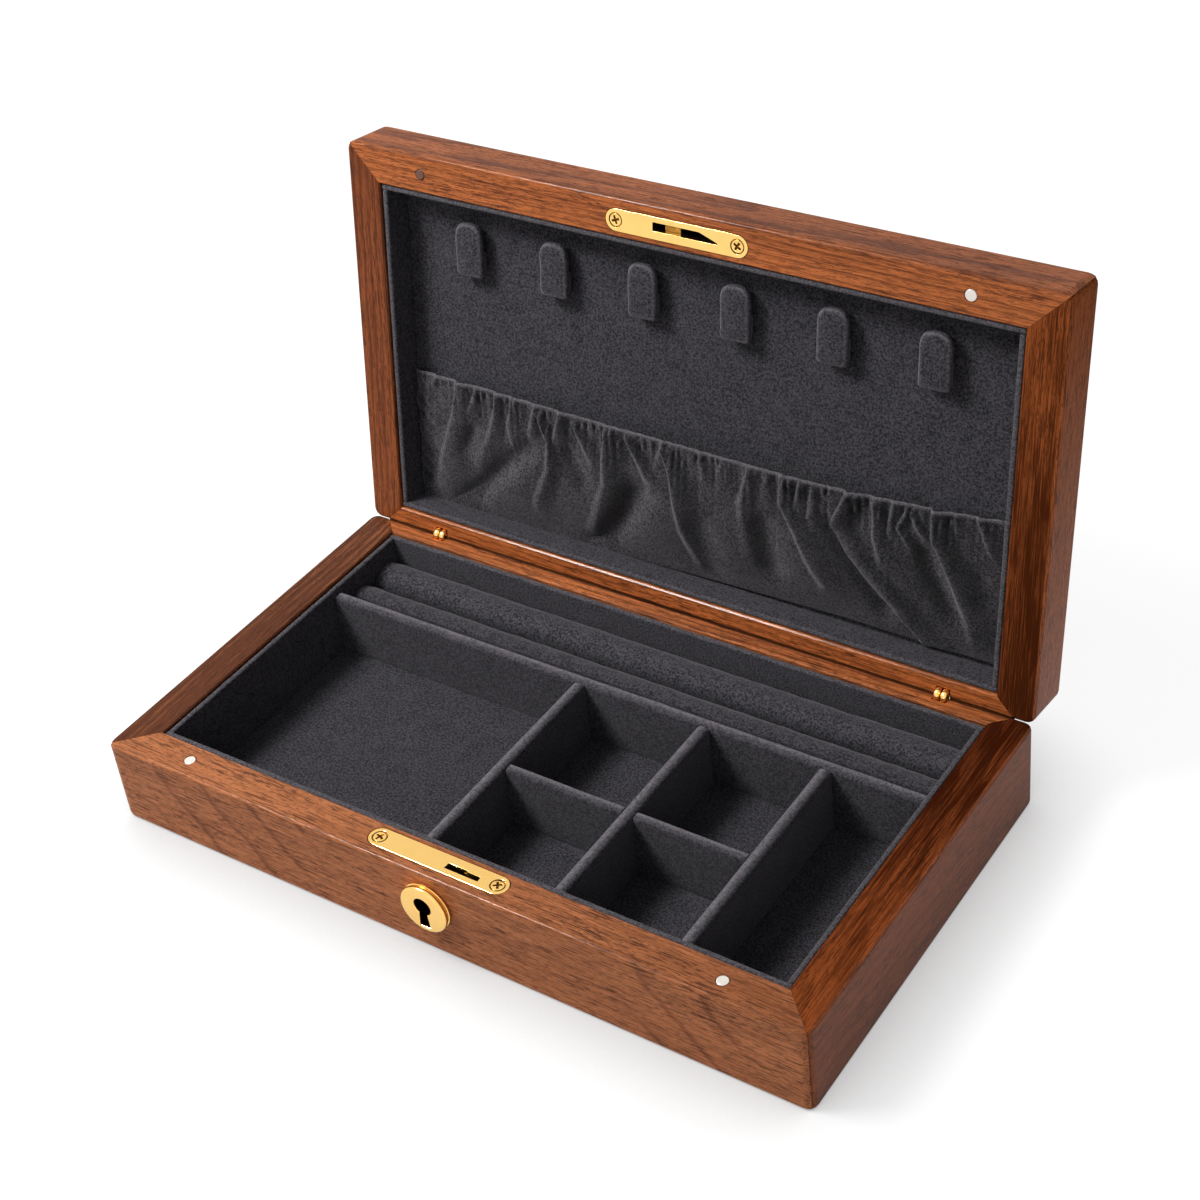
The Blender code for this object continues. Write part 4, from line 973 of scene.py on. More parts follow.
class BOX_OT_boards(bpy.types.Operator):
    """Cover the liners, the tray's floor and the lid's lining with suede"""

    bl_idname = "jewelry_box.boards"
    bl_label = "Suede boards"

    def execute(self, context):
        add_liners("base", "tray", (TRAY_Z, BASE_HEIGHT - LINER_DROP), 11)
        add_liners("lid", "lid", (LINING_Z - FIT_GAP, LID_RIM_Z + LINER_DROP), 21)
        for name, body, heights, seed in (
                ("base_liner_floor", "tray", (FLOOR_LOW_Z, FLOOR_Z), 31),
                ("lid_lining", "lid", (LINING_BACK_Z, LINING_Z), 32)):
            sides = (INNER_FRONT_Y + FIT_GAP, INNER_BACK_Y - FIT_GAP)
            add_board(name, body, "x", sides, heights, CASE_ENDS, 0.0003, seed, foot=0.0003)
        return {"FINISHED"}


class BOX_OT_dividers(bpy.types.Operator):
    """Stand the suede dividers in the tray"""

    bl_idname = "jewelry_box.dividers"
    bl_label = "Dividers"

    def execute(self, context):
        heights = (TRAY_Z, DIVIDER_TOP)
        # Divider tops: painted highlight growing to the far edge, painted shade on the near part
        add_board(
            "divider_long", "tray", "x", LONG_DIVIDER, heights,
            (-LINED_X + BOARD_GAP, LINED_X - BOARD_GAP), DIVIDER_CROWN, 41, 0.95, LONG_DIVIDER[1])
        for count, (side, low) in enumerate(zip(("left", "middle", "right"), CROSS_DIVIDER_X)):
            add_board(
                "divider_" + side, "tray", "y", (low, low + DIVIDER), heights,
                (LINED_FRONT_Y + BOARD_GAP, LONG_DIVIDER[0] - BOARD_GAP), DIVIDER_CROWN,
                42 + count, 0.95, low, 0.4)
        for count, side in enumerate(("left", "right")):
            start, end = CROSS_DIVIDER_X[count:count + 2]
            add_board(
                "divider_short_" + side, "tray", "x", SHORT_DIVIDER, (TRAY_Z, SHORT_DIVIDER_TOP),
                (start + DIVIDER + BOARD_GAP, end - BOARD_GAP), SHORT_DIVIDER_CROWN, 45 + count,
                0.9, SHORT_DIVIDER[1], 0.2)
        return {"FINISHED"}


class BOX_OT_rolls(bpy.types.Operator):
    """Lay the two padded ring rolls in their tray"""

    bl_idname = "jewelry_box.rolls"
    bl_label = "Ring rolls"

    def execute(self, context):
        looks = context.scene.box_suede
        suede = suede_material(
            "charcoal_suede_roll_painted_light", scaled(looks.dark, ROLL_PAINTED_LIGHT), scaled(looks.light, ROLL_PAINTED_LIGHT))
        radius = ROLL_WIDTH / 2
        for count, (side, low) in enumerate(zip(("front", "back"), ROLL_STARTS)):
            crown = arc((low + radius, ROLL_TOP - radius), radius, 0, math.pi, 24)
            outline = np.vstack([[(low, TRAY_Z), (low + ROLL_WIDTH, TRAY_Z)], crown])
            rings = bar_rings(
                filled(outline, 0.0015), -LINED_X + FIT_GAP, LINED_X - FIT_GAP, ROLL_ROUNDING,
                "x", 0.002)
            swell = unevenness(rings, ROLL_WAVE, 51 + count) * ROLL_SWELL
            rings = rings + swell[..., None] * np.array((0, 0.5, 1))
            # Painted shade: darker below the top of the roll
            lean = -0.8 * np.clip((ROLL_TOP - ROLL_SHADE_START - rings[..., 2]) / ROLL_SHADE_FADE, 0, 1)
            # Painted shadow of the long divider across the front roll
            if side == "front":
                depth = np.interp(rings[..., 1] - low, (0.0044, 0.0054, 0.0095), (0.85, 0.2, 0))
                lean = np.maximum(lean - depth, -1.1)
            roll = add_shells(
                "ring_roll_" + side, "_pad", suede, "tray", "charcoal_suede", rings, lean=lean)
        return {"FINISHED"}


# Tabs and pocket of the lid

def tab_rings(middle_x):
    """Padded tongue with an arched end and a heel that stands on the lining.

    Its arch is a circle whose sine and cosine are raised to the power 0.8. The outline is drawn in
    ring by ring over the face, round the edge and over the back, where the height falls to the
    lining past the start of the heel.
    """
    half, root, quarter = TAB_WIDTH / 2, TAB_LENGTH / 2, math.pi / 2
    rounding = TAB_THICKNESS / 2
    arch = arc((0, 0), 1, math.pi, 2 * math.pi, 29)
    arch = np.sign(arch) * np.abs(arch) ** 0.8 * half + np.array((0, half - root))
    outline = filled(np.vstack([
        arch,
        arc((half - TAB_CORNER, root - TAB_CORNER), TAB_CORNER, 0, quarter, 5),
        arc((-half + TAB_CORNER, root - TAB_CORNER), TAB_CORNER, quarter, math.pi, 5)]), 0.0007)
    turn = np.linspace(0, math.pi, 13)
    edge_inset = rounding * (1 - np.sin(turn)) * 0.8
    face_inset = np.linspace(TAB_FACE_INSET, edge_inset[0] + 0.0005, 8)
    crown = TAB_CROWN * (1 - ((half - face_inset) / half) ** 2)
    inset = np.concatenate([face_inset, edge_inset, face_inset[::-1]])
    height = np.concatenate(
        [rounding + crown, rounding * np.cos(turn), np.full(len(crown), -rounding)])
    scale = np.stack([1 - inset / half, 1 - inset / root], axis=-1)
    rings = np.empty((len(inset), len(outline), 3))
    rings[..., :2] = outline[None] * scale[:, None]
    rings[..., 2] = height[:, None]
    back = np.clip(-rings[..., 2] / rounding, 0, 1)
    heel = np.clip((rings[..., 1] - (root - HEEL_LENGTH)) / HEEL_SLOPE, 0, 1)
    heel = heel * heel * (3 - 2 * heel) * back ** 6 * (TAB_STANDOFF - FIT_GAP)
    middle_z = LINING_Z - TAB_STANDOFF - rounding
    # The rounded edge is lighter as wear and painted sheen
    rubbed = np.zeros(len(inset))
    rubbed[len(crown):-len(crown)] = 0.8 * np.exp(-((turn - 0.7) / 0.5) ** 2)
    placed = np.stack(
        [middle_x + rings[..., 0], TAB_Y + rings[..., 1], middle_z - rings[..., 2] + heel], axis=-1)
    return placed, np.repeat(rubbed[:, None], len(outline), axis=1)


class BOX_OT_tabs(bpy.types.Operator):
    """Hang the row of padded necklace tabs on the lid's lining"""

    bl_idname = "jewelry_box.tabs"
    bl_label = "Necklace tabs"

    def execute(self, context):
        looks = context.scene.box_suede
        suede = suede_material("charcoal_suede_tab", looks.dark, looks.light)
        for count in range(TAB_COUNT):
            rings, rubbed = tab_rings(TAB_X * (2 * count / (TAB_COUNT - 1) - 1))
            swell = unevenness(rings, TAB_WAVE, 61 + count) * TAB_SWELL
            rings = opened(rings + swell[..., None] * np.array((1, 1, 0.4)))
            tab = add_shells(
                "necklace_tab_" + str(count + 1), "_pad", suede, "lid", "charcoal_suede", rings,
                rubbed=rubbed)
        return {"FINISHED"}


# Mouth and seam of the pocket: place across and distance from the hinge axis, as all lengths of the
# pocket's tables in tenths of a millimetre
PER_METRE = 10000
MOUTH_LINE = ((-1223, 632), (-900, 645), (0, 646), (540, 640), (940, 655), (1223, 668))
SEAM_LINE = ((-1223, 78), (-800, 85), (-300, 98), (200, 112), (600, 122), (1223, 118))

# Folds: share of the full height, width, softness, then places across and from the back
FOLDS = (
    (0.6, 35, 0.5, ((-1128, 624), (-1189, 561))),
    (1.1, 95, 0.9, ((-1017, 635), (-1044, 503), (-1102, 335), (-1156, 188))),
    (0.7, 50, 1.0, ((-927, 620), (-1001, 488))),
    (0.8, 55, 1.0, ((-828, 628), (-863, 480), (-935, 330))),
    (0.7, 60, 0.4, ((-754, 626), (-778, 526), (-765, 461))),
    (0.6, 40, 0.6, ((-648, 628), (-681, 520))),
    (0.8, 50, 0.8, ((-640, 610), (-595, 507), (-600, 390), (-670, 230))),
    (0.8, 60, 0.5, ((-536, 627), (-581, 492))),
    (0.7, 55, 0.6, ((-478, 610), (-407, 473))),
    (1.0, 90, 1.2, ((-333, 620), (-350, 498), (-346, 403), (-430, 180))),
    (0.8, 50, 0.7, ((-245, 615), (-165, 464))),
    (0.5, 35, 0.8, ((-91, 623), (-132, 528))),
    (1.0, 85, 0.9, ((-90, 610), (-60, 518), (-20, 306), (30, 180))),
    (0.4, 45, 1.0, ((60, 620), (75, 520))),
    (0.4, 45, 1.0, ((150, 620), (128, 510))),
    (0.7, 70, 1.4, ((256, 616), (222, 480), (250, 300))),
    (0.4, 45, 1.0, ((319, 616), (309, 520))),
    (1.0, 80, 0.9, ((389, 619), (384, 525), (441, 435), (505, 320), (550, 250))),
    (0.6, 50, 0.5, ((459, 615), (420, 490))),
    (0.5, 45, 0.8, ((505, 600), (489, 480))),
    (1.3, 85, 0.12, ((639, 630), (584, 506), (648, 408), (925, 130))),
    (0.9, 55, 0.4, ((740, 625), (745, 496), (770, 420))),
    (0.6, 40, 0.6, ((812, 633), (788, 518))),
    (0.6, 30, 0.4, ((860, 625), (826, 555), (875, 490))),
    (0.6, 30, 0.4, ((874, 620), (920, 535))),
    (1.3, 90, 0.6, ((954, 650), (956, 541), (1032, 394), (1105, 200))),
    (0.4, 45, 1.0, ((1031, 645), (1029, 550))),
    (1.0, 60, 0.3, ((1110, 655), (1152, 545), (1215, 460))),
    (0.4, 30, 0.5, ((1144, 660), (1156, 610))),
    (0.4, 30, 0.5, ((1186, 665), (1213, 630))),
)

# Hollows between the folds: share of the full depth, half width, then places as above
HOLLOWS = (
    (0.8, 40, ((-1142, 358), (-1167, 174))),
    (0.6, 35, ((-934, 492), (-995, 354))),
    (1.2, 60, ((-644, 518), (-795, 345), (-1015, 129))),
    (0.6, 45, ((-518, 527), (-437, 381))),
    (1.2, 62, ((-168, 479), (-244, 312), (-375, 142))),
    (0.7, 60, ((44, 397), (90, 164))),
    (0.8, 55, ((305, 474), (352, 247))),
    (1.1, 50, ((555, 547), (629, 414), (794, 231))),
    (1.0, 45, ((912, 558), (967, 404), (1049, 273))),
    (0.7, 45, ((1131, 494), (1164, 354))),
)


def fold_run(line, reach, fade):
    """Middle of a fold at each distance from the back, how much of it is gone, and its strength.

    The middle runs straight from place to place, and the strength falls to nothing past both ends.
    """
    across, place = np.array(line).T / PER_METRE
    centre = np.interp(reach, place[::-1], across[::-1])
    gone = np.clip((place[0] - reach) / (place[0] - place[-1]), 0, 1)
    over = np.clip((reach - place[0]) / FOLD_START, 0, 1)
    past = np.clip((place[-1] - reach) / fade, 0, 1)
    return centre, gone, (1 - over) * (1 - past) ** 2


def fold_lift(x, reach):
    """Height of the folds over the cloth: the highest of them at each point, as a share.

    Each rises in a soft step on its left and falls as one less the squared distance, squared.
    """
    lift = np.zeros_like(x)
    for full, width, softness, line in FOLDS:
        centre, gone, strength = fold_run(line, reach, FOLD_FADE)
        step = np.clip((x - centre) / (FOLD_RISE * (1 + 4 * softness * gone)) + 0.5, 0, 1)
        fall = np.clip((x - centre) / (width / PER_METRE * (1 + 0.9 * gone)), 0, 1)
        shape = step * step * (3 - 2 * step) * (1 - fall ** 2) ** 2
        lift = np.maximum(lift, full * strength * (1 - 0.45 * gone ** 2) * shape)
    return lift


def hollow_depth(x, reach):
    """Depth of the hollows, as a share: the sum of bells, e to the minus squared distance."""
    depth = np.zeros_like(x)
    for full, half_width, line in HOLLOWS:
        centre, gone, strength = fold_run(line, reach, HOLLOW_FADE)
        bell = np.exp(-((x - centre) / (half_width / PER_METRE)) ** 2)
        depth += full * strength * np.clip(gone * 4, 0, 1) * bell
    return depth


def pocket_surface(looks):
    """Middle surface of the gathered cloth, as points of the shut lid.

    Its lift off the lining is the mouth's bulge, squared with height, plus the bag's, a squared
    sine, plus a slanting swell, the folds less the hollows, the crumpled left end, and small
    gathers that die away under the hem. Its lean is the hyperbolic tangent of the slope across.
    """
    across = np.linspace(-1, 1, looks.columns)[None]
    up = np.linspace(0, 1, looks.rows)[:, None]
    x = np.repeat(across * POCKET_HALF, looks.rows, axis=0)
    low, high = (
        np.interp(x, *(np.array(line).T / PER_METRE)) for line in (SEAM_LINE, MOUTH_LINE))
    reach = low + (high - low) * up
    hold = 1 - np.abs(across) ** 8
    loose = np.sin(math.pi * np.clip(up * 1.02, 0, 1)) ** 0.8
    lift = looks.mouth_bulge * up ** 2 * (1 - across ** 2) ** 0.7
    lift = lift + looks.bag_bulge * np.sin(math.pi * up ** 0.8) ** 2 * (1 - across ** 4)
    slant = x + SWELL_LEAN * (SWELL_START - reach)
    swell = 0.55 * np.sin(slant / 0.0112 + 0.6) + 0.45 * np.sin(slant / 0.0066 + 2.0 + 6 * across)
    lift = lift + SWELL_HEIGHT * swell * loose * hold
    lift = lift + looks.fold * fold_lift(x, reach) * hold
    lift = lift - looks.hollow * hollow_depth(x, reach) * hold
    places = np.stack([x, reach, np.zeros_like(x)], axis=-1)
    crumpled = unevenness(places, 0.016, 71) + 0.5 * unevenness(places, 0.009, 72)
    at_left = np.exp(-(x + POCKET_HALF) / CRUMPLE_REACH)
    lift = lift + CRUMPLE * crumpled * at_left * up ** 0.6
    under_hem = np.exp(-(1 - up) * 7) * np.clip((1 - up) * 30, 0.25, 1)
    gathers = np.sin(x / 0.00058 + 2.2 * np.sin(x / 0.0061) + 1.7 * np.sin(x / 0.0023 + 1))
    gathers = gathers + 0.35 * np.sin(x / 0.00033 + 3 * np.sin(x / 0.0045 + 2))
    uneven = np.clip(0.55 + 1.6 * unevenness(places, 0.008, 73), 0.1, 1.2)
    lift = lift + looks.gather * gathers * uneven * under_hem * hold
    lift = np.maximum(lift + PADDING * np.clip(up * 8, 0, 1), 0)
    # Painted light and shade: cloth rising to the right is lighter, cloth falling darker
    slope = np.gradient(lift, axis=1) / np.gradient(x, axis=1)
    rest = LINING_Z - FIT_GAP - CLOTH
    return np.stack([x, POCKET_BACK_Y - reach, rest - lift], axis=-1), np.tanh(slope / 0.4)


def sheet_mesh(name, points):
    """Open grid of quads through rows and columns of points."""
    rows, columns = points.shape[:2]
    row, column = np.arange(rows - 1)[:, None], np.arange(columns - 1)[None]
    first = row * columns + column
    quads = np.stack([first, first + 1, first + columns + 1, first + columns], axis=-1)
    mesh = bpy.data.meshes.new(name)
    mesh.from_pydata(points.reshape(-1, 3).tolist(), [], quads.reshape(-1, 4).tolist())
    return mesh


def hem_rings(edge):
    """Thin folded band along the mouth: an ellipse at each place of the edge, slightly wavy."""
    turn = np.linspace(0, 2 * math.pi, 12, endpoint=False)
    wave = 0.00007 * np.sin(edge[:, 0] / 0.0009) + 0.00006 * np.sin(edge[:, 0] / 0.00037 + 1)
    rings = np.repeat(edge[:, None], len(turn), axis=1)
    rings[..., 1] -= 0.0001 - HEM_HALF * np.cos(turn)[None] - wave[:, None]
    rings[..., 2] += HEM_THICK * np.sin(turn)[None]
    return rings


class BOX_OT_pocket(bpy.types.Operator):
    """Gather the cloth pocket over the lower half of the lid's lining"""

    bl_idname = "jewelry_box.pocket"
    bl_label = "Gathered pocket"

    def execute(self, context):
        looks, cloth = context.scene.box_pocket, context.scene.box_suede
        points, lean = pocket_surface(looks)
        mesh = sheet_mesh("gathered_pocket", opened(points))
        # Mouth and hem lighter as wear and painted sheen
        by_mouth = np.clip((np.linspace(0, 1, looks.rows) - 0.985) * 60, 0, 1)
        store(mesh, "rubbed", np.repeat(by_mouth, looks.columns))
        store(mesh, "lean", lean.ravel())
        velvet = suede_material("charcoal_velvet", cloth.pocket_dark, cloth.pocket_light, 0.45)
        pocket = add_piece(
            "gathered_pocket_cloth", mesh, velvet, "lid", "gathered_pocket", slot="pocket_cloth",
            sharp=math.pi)
        thick = pocket.modifiers.new("cloth thickness", "SOLIDIFY")
        thick.thickness = CLOTH * 0.8
        thick.offset = 0
        hem_mesh = shell_mesh("pocket_hem", [opened(hem_rings(points[-1]))])
        store(hem_mesh, "rubbed", np.full(len(hem_mesh.vertices), 0.75))
        hem = add_piece("pocket_hem", hem_mesh, velvet, "lid", slot="pocket_cloth")
        return {"FINISHED"}


# Brass, magnets and stud

def rod_rings(start, end, radius):
    """Round bar between two points."""
    start, end = np.array(start, float), np.array(end, float)
    run = end - start
    length = np.linalg.norm(run)
    profile = rounded_profile(radius, 0, length, ROD_EDGE, ROD_EDGE)
    return turned_rings(profile, start, run / length, 32)


class BOX_OT_hinges(bpy.types.Operator):
    """Turn the two round discs of each hinge and their shanks"""

    bl_idname = "jewelry_box.hinges"
    bl_label = "Hinges"

    def execute(self, context):
        brass = brass_material()
        half = DISC_LENGTH / 2
        profile = rounded_profile(DISC_RADIUS, -half, half, DISC_ROUNDING, DISC_ROUNDING)
        reach = SHANK_LENGTH * math.cos(SHANK_ANGLE)
        drop = SHANK_LENGTH * math.sin(SHANK_ANGLE)
        for side, turn in (("left", -1), ("right", 1)):
            for case, body, out in (("base", "tray", 1), ("lid", "lid", -1)):
                x = turn * (HINGE_X + out * DISC_OFFSET)
                disc = turned_rings(profile, (x, HINGE_Y, HINGE_Z), (1, 0, 0))
                end = (x, HINGE_Y - reach, HINGE_Z - out * drop)
                shank = on_body(rod_rings((x, HINGE_Y, HINGE_Z), end, SHANK_RADIUS), body)
                name = "hinge_" + case + "_" + side
                add_shells(name, "_turned", brass, body, "brass", disc, shank)
            dress("hinge_pin_" + side, brass)
        return {"FINISHED"}


def screw_rings(x, face_z, into, turn_angle):
    """Screw head with a shallow dome and a cross recess, and its shank.

    On circles about its middle the height is the dome less the recess, where the recess is the
    larger of two bars, each the product of two soft steps. Its grime is one in the recess and from
    the edge on.
    """
    turn = np.linspace(0, 2 * math.pi, ROUND_SEGMENTS, endpoint=False)
    radius = np.linspace(0.00008, SCREW_RADIUS - SCREW_DOME, 26)[:, None]
    along, across = radius * np.cos(turn + turn_angle), radius * np.sin(turn + turn_angle)

    def bar(long, wide):
        """Soft-edged bar: one step at its half length times one at its half width."""
        end = np.clip((CROSS_REACH - np.abs(long)) / 0.0002, 0, 1)
        side = np.clip((CROSS_HALF - np.abs(wide)) / 0.00016, 0, 1)
        return end * side

    dome = SCREW_DOME * (1 - (radius / SCREW_RADIUS) ** 2)
    cut = np.maximum(bar(along, across), bar(across, along)) * CROSS_DEPTH
    edge = arc((SCREW_RADIUS - SCREW_DOME, -SCREW_DOME), SCREW_DOME, math.pi / 2, 0, 5)
    shank = [(SCREW_RADIUS, -SCREW_HEAD), (SCREW_SHANK, -SCREW_HEAD - 0.00001),
             (SCREW_SHANK, 0.0001 - SCREW_LENGTH), (0.0006, -SCREW_LENGTH)]
    sides = np.vstack([edge, shank])[..., None].repeat(len(turn), axis=2)
    radii = np.vstack([radius.repeat(len(turn), axis=1), sides[:, 0]])
    heights = np.vstack([dome - cut, sides[:, 1]])
    top = face_z + into * SCREW_SINK
    grime = np.zeros_like(radii)
    grime[:len(radius)] = np.clip(cut / 0.0005, 0, 1)
    grime[len(radius) + 1:] = 1
    placed = np.stack(
        [x + radii * np.cos(turn), PLATE_Y + radii * np.sin(turn), top - into * heights], axis=-1)
    return placed, grime


class BOX_OT_plates(bpy.types.Operator):
    """Lay the brass lock plate and catch plate with their screws"""

    bl_idname = "jewelry_box.plates"
    bl_label = "Plates and screws"

    def execute(self, context):
        brass, grimy = brass_material(), brass_material("grimy_brass_finish", GRIME)
        for prefix, body in (("lock", "tray"), ("catch", "lid")):
            smooth_copy(prefix + "_plate", brass, body, "brass", PLATE_EDGE)
            for side, x, angle in (("left", -SCREW_X, 0.35), ("right", SCREW_X, 1.0)):
                rings, grime = screw_rings(x, *RIMS[body], angle)
                add_shells(
                    prefix + "_screw_" + side, "_turned", grimy, body, "brass",
                    on_body(rings, body), grime=grime)
        return {"FINISHED"}


def boss_rings():
    """Turned boss pierced by its keyhole: rings from the hole's back, out over the face and home.

    The keyhole's points share their angle with the points of every round ring, and rings between
    the two on the face divide the distance evenly.
    """
    neck = math.asin(KEYHOLE_NECK / KEYHOLE_RADIUS)
    head = arc((0, KEYHOLE_Z), KEYHOLE_RADIUS, -math.pi / 2 + neck, 3 * math.pi / 2 - neck, 73)
    foot = np.array((-KEYHOLE_FOOT, KEYHOLE_FOOT_Z))
    down = head[-1] + (foot - head[-1]) * np.linspace(0, 1, 12)[1:, None]
    floor = foot + np.array((2 * KEYHOLE_FOOT, 0)) * np.linspace(0, 1, 9)[1:-1, None]
    hole = np.vstack([head, down, floor, down[::-1] * np.array((-1, 1))])
    angle = np.arctan2(hole[:, 1] - KEYHOLE_Z, hole[:, 0])
    circle = np.stack([np.cos(angle), np.sin(angle)], axis=-1)

    def ring(flat, out):
        """Outline set upright at a distance in front of the wall."""
        return np.stack([flat[:, 0], np.full(len(flat), FRONT_Y - out), flat[:, 1]], axis=-1)

    def round_ring(radius, out):
        """Circle about the boss's middle."""
        return ring(np.array((0, BOSS_Z)) + radius * circle, out)

    soft, edge = 0.0003, 0.0007
    quarter = np.linspace(0, math.pi / 2, 5)
    rings = [ring(hole, -SPIGOT_END), ring(hole, BOSS_FRONT - 0.001)]
    rings += [
        ring(hole + soft * (1 - math.cos(t)) * circle, BOSS_FRONT - soft + soft * math.sin(t))
        for t in quarter]
    inner, outer = rings[-1], round_ring(BOSS_RADIUS - edge, BOSS_FRONT)
    rings += [inner + (outer - inner) * step for step in np.linspace(0, 1, 6)[1:]]
    rings += [
        round_ring(BOSS_RADIUS - edge + edge * math.sin(t), BOSS_FRONT - edge + edge * math.cos(t))
        for t in quarter[1:]]
    groove = ((0, 0.00195), (-0.00015, 0.00175), (-0.0006, 0.0017), (-0.0006, 0.0013),
              (-0.0002, 0.00122), (0, 0.0010), (0, 0.0005), (-0.0002, 0.0003))
    rings += [round_ring(BOSS_RADIUS + step, out) for step, out in groove]
    rings += [round_ring(SPIGOT_RADIUS, 0.0003), round_ring(SPIGOT_RADIUS, -SPIGOT_END)]
    return np.stack(rings)


class BOX_OT_boss(bpy.types.Operator):
    """Turn the keyhole boss on the tray's front"""

    bl_idname = "jewelry_box.boss"
    bl_label = "Keyhole boss"

    def execute(self, context):
        rings = boss_rings()
        grime = np.zeros(rings.shape[:2])
        grime[:2] = 1
        add_shells(
            "keyhole_boss", "_turned", brass_material("grimy_brass_finish", GRIME), "tray",
            "brass", rings, joined=True, grime=grime)
        return {"FINISHED"}


class BOX_OT_magnets(bpy.types.Operator):
    """Let the magnets and the brown stud into the rims"""

    bl_idname = "jewelry_box.magnets"
    bl_label = "Magnets and stud"

    def execute(self, context):
        looks = context.scene.box_metal
        steel = metal_material("magnet_finish", looks.magnet, scaled(looks.magnet, 0.9), 0.3, 0.25)
        brown = metal_material("brown_stud_finish", looks.stud, scaled(looks.stud, 0.6), 0.18, 0.0)
        for name, turn, body, radius, proud, material, slot in (
                ("base_magnet_left", -1, "tray", MAGNET_RADIUS, 0, steel, "magnet"),
                ("base_magnet_right", 1, "tray", MAGNET_RADIUS, 0, steel, "magnet"),
                ("lid_magnet_right", 1, "lid", MAGNET_RADIUS, 0, steel, "magnet"),
                ("lid_stud_left", -1, "lid", STUD_RADIUS, STUD_PROUD, brown, "brown_stud")):
            face_z, into = RIMS[body]
            rings = turned_rings(
                rounded_profile(radius, -MAGNET_DEPTH, proud, *MAGNET_EDGES),
                (turn * MAGNET_X, MAGNET_Y, face_z), (0, 0, -into))
            add_shells(name, "_turned", material, body, slot, on_body(rings, body))
        return {"FINISHED"}


class BOX_OT_lock(bpy.types.Operator):
    """Finish the lock works inside the front wall and the keeper in the lid"""

    bl_idname = "jewelry_box.lock"
    bl_label = "Lock works"

    def execute(self, context):
        looks = context.scene.box_metal
        # Brass darkened partly as tarnish and partly as painted shade inside the slots
        dark = metal_material(
            "inner_brass_shaded_finish", scaled(looks.brass, 0.16), scaled(looks.brass, 0.08), 0.38)
        for node in ("lock_case", "lock_hook", "lock_pivot_pin", "key_follower", "catch_keeper"):
            dress(node, dark)
        return {"FINISHED"}


# Stage

FRAME_SHIFT = (20 / 1200, -60 / 1200)
LAMP_TARGET = Vector((0, 0, 0.06))
FLOOR_GAP = 0.0002
FLOOR_HALF = 3


def add_lamp(name, power, size, place):
    """Square soft lamp that looks at the middle of the box."""
    light = bpy.data.lights.new(name, "AREA")
    light.energy = power
    light.size = size
    lamp = bpy.data.objects.new(name, light)
    lamp.location = place
    lamp.rotation_euler = (LAMP_TARGET - Vector(place)).to_track_quat("-Z", "Y").to_euler()
    bpy.context.scene.collection.objects.link(lamp)
    return lamp


def seen_directly(tree):
    """One where a ray from the camera, a mirror or a glass meets the surface."""
    path = tree.tree.nodes.new("ShaderNodeLightPath")
    rays = tree.maths("MAXIMUM", path.outputs["Is Camera Ray"], path.outputs["Is Glossy Ray"])
    return tree.maths("MAXIMUM", rays, path.outputs["Is Transmission Ray"])


def floor_material(looks):
    """White floor: a glow with a share of matt shading to the camera, and pale grey to other rays.

    The glow fades in the gaps that the box closes in.
    """
    material, tree, shader, place = new_material("white_floor")
    shade = tree.mix(tree.noise(place, 2, 2), colour((0.90,) * 3), colour((0.92,) * 3))
    seen = seen_directly(tree)
    share = tree.mix(seen, colour((0.64,) * 3), colour((looks.shadow_share,) * 3))
    free = tree.add("AmbientOcclusion", {"Distance": 0.045}, output="AO", samples=8)
    glow = tree.fit(free, 0.08, 0.95, 0.17 * looks.floor_glow, looks.floor_glow)
    tree.feed(shader, {
        "Base Color": tree.mix(1.0, shade, share, "MULTIPLY"), "Roughness": 0.9,
        "Specular IOR Level": 0.1, "Emission Color": (1, 1, 1, 1),
        "Emission Strength": tree.maths("MULTIPLY", seen, glow)})
    return material


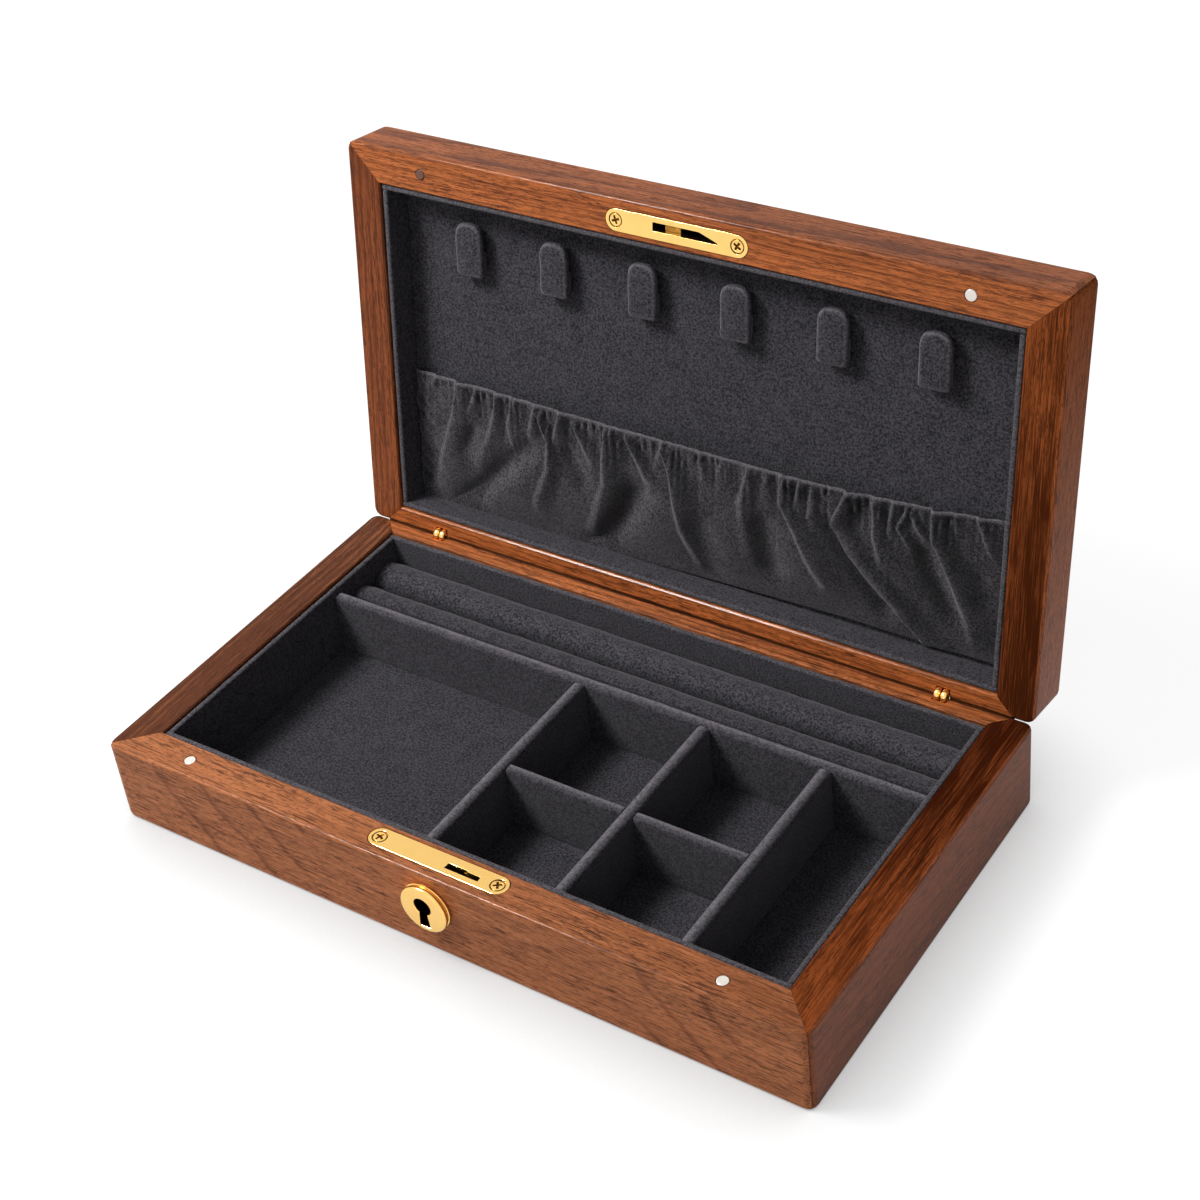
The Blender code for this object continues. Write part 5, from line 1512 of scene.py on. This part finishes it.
class BOX_OT_stage(bpy.types.Operator):
    """Set the camera, the lamps, the sky and the floor"""

    bl_idname = "jewelry_box.stage"
    bl_label = "Stage"

    def execute(self, context):
        looks, scene = context.scene.box_stage, context.scene
        camera_data = bpy.data.cameras.new("camera")
        camera_data.sensor_width = 36
        camera_data.lens = looks.focal_length
        camera_data.shift_x, camera_data.shift_y = FRAME_SHIFT
        camera = bpy.data.objects.new("camera", camera_data)
        scene.collection.objects.link(camera)
        turn = (
            Matrix.Rotation(looks.azimuth, 4, "Z")
            @ Matrix.Rotation(math.pi / 2 - looks.elevation, 4, "X")
            @ Matrix.Rotation(looks.roll, 4, "Z"))
        camera.matrix_world = Matrix.Translation(looks.camera_place) @ turn
        scene.camera = camera
        add_lamp("key_lamp", looks.key, 0.36, (-0.50, -0.33, 0.86))
        add_lamp("fill_lamp", looks.fill, 1.2, (0.3, -1.5, 0.7))
        glint = add_lamp("edge_lamp", looks.glint, 0.2, (-0.47, -0.31, 0.80))
        glint.visible_diffuse = False
        world = bpy.data.worlds.new("pale_sky")
        world.use_nodes = True
        tree = NodeTree(world.node_tree)
        background = world.node_tree.nodes["Background"]
        strength = tree.fit(seen_directly(tree), 0, 1, looks.sky, 1.0)
        tree.feed(background, {"Color": (1, 1, 1, 1), "Strength": strength})
        scene.world = world
        side = np.linspace(-FLOOR_HALF, FLOOR_HALF, 9)
        x, y = np.meshgrid(side, side)
        mesh = sheet_mesh("floor", np.stack([x, y, np.full_like(x, -FLOOR_GAP)], axis=-1))
        mesh.materials.append(floor_material(looks))
        floor = bpy.data.objects.new("floor", mesh)
        scene.collection.objects.link(floor)
        scene.view_settings.view_transform = "Standard"
        return {"FINISHED"}


OPERATORS = (
    BOX_OT_walls, BOX_OT_boards, BOX_OT_dividers, BOX_OT_rolls, BOX_OT_tabs, BOX_OT_pocket,
    BOX_OT_hinges, BOX_OT_plates, BOX_OT_boss, BOX_OT_magnets, BOX_OT_lock, BOX_OT_stage)
SETTINGS = {
    "box_wood": WoodSettings, "box_suede": SuedeSettings, "box_metal": MetalSettings,
    "box_pocket": PocketSettings, "box_stage": StageSettings}


class BOX_PT_dressing(bpy.types.Panel):
    """Lists the pieces of the box and their settings"""

    bl_label = "Jewelry box"
    bl_idname = "BOX_PT_dressing"
    bl_space_type = "VIEW_3D"
    bl_region_type = "UI"
    bl_category = "Jewelry box"

    def draw(self, context):
        for operator in OPERATORS:
            self.layout.operator(operator.bl_idname)
        for name, kind in SETTINGS.items():
            column = self.layout.column(heading=kind.__doc__)
            for setting in kind.__annotations__:
                column.prop(getattr(context.scene, name), setting)


def register():
    """Register the settings, the operators and the panel."""
    for name, kind in SETTINGS.items():
        bpy.utils.register_class(kind)
        setattr(bpy.types.Scene, name, PointerProperty(type=kind))
    for kind in (*OPERATORS, BOX_PT_dressing):
        bpy.utils.register_class(kind)


def unregister():
    """Take back what register set up."""
    for kind in (BOX_PT_dressing, *reversed(OPERATORS)):
        bpy.utils.unregister_class(kind)
    for name, kind in SETTINGS.items():
        delattr(bpy.types.Scene, name)
        bpy.utils.unregister_class(kind)


def main():
    """Build every piece in order and write the size of the CAD and of the dressed box."""
    register()
    for operator in OPERATORS:
        family, name = operator.bl_idname.split(".")
        getattr(getattr(bpy.ops, family), name)()


if __name__ == "__main__":
    main()
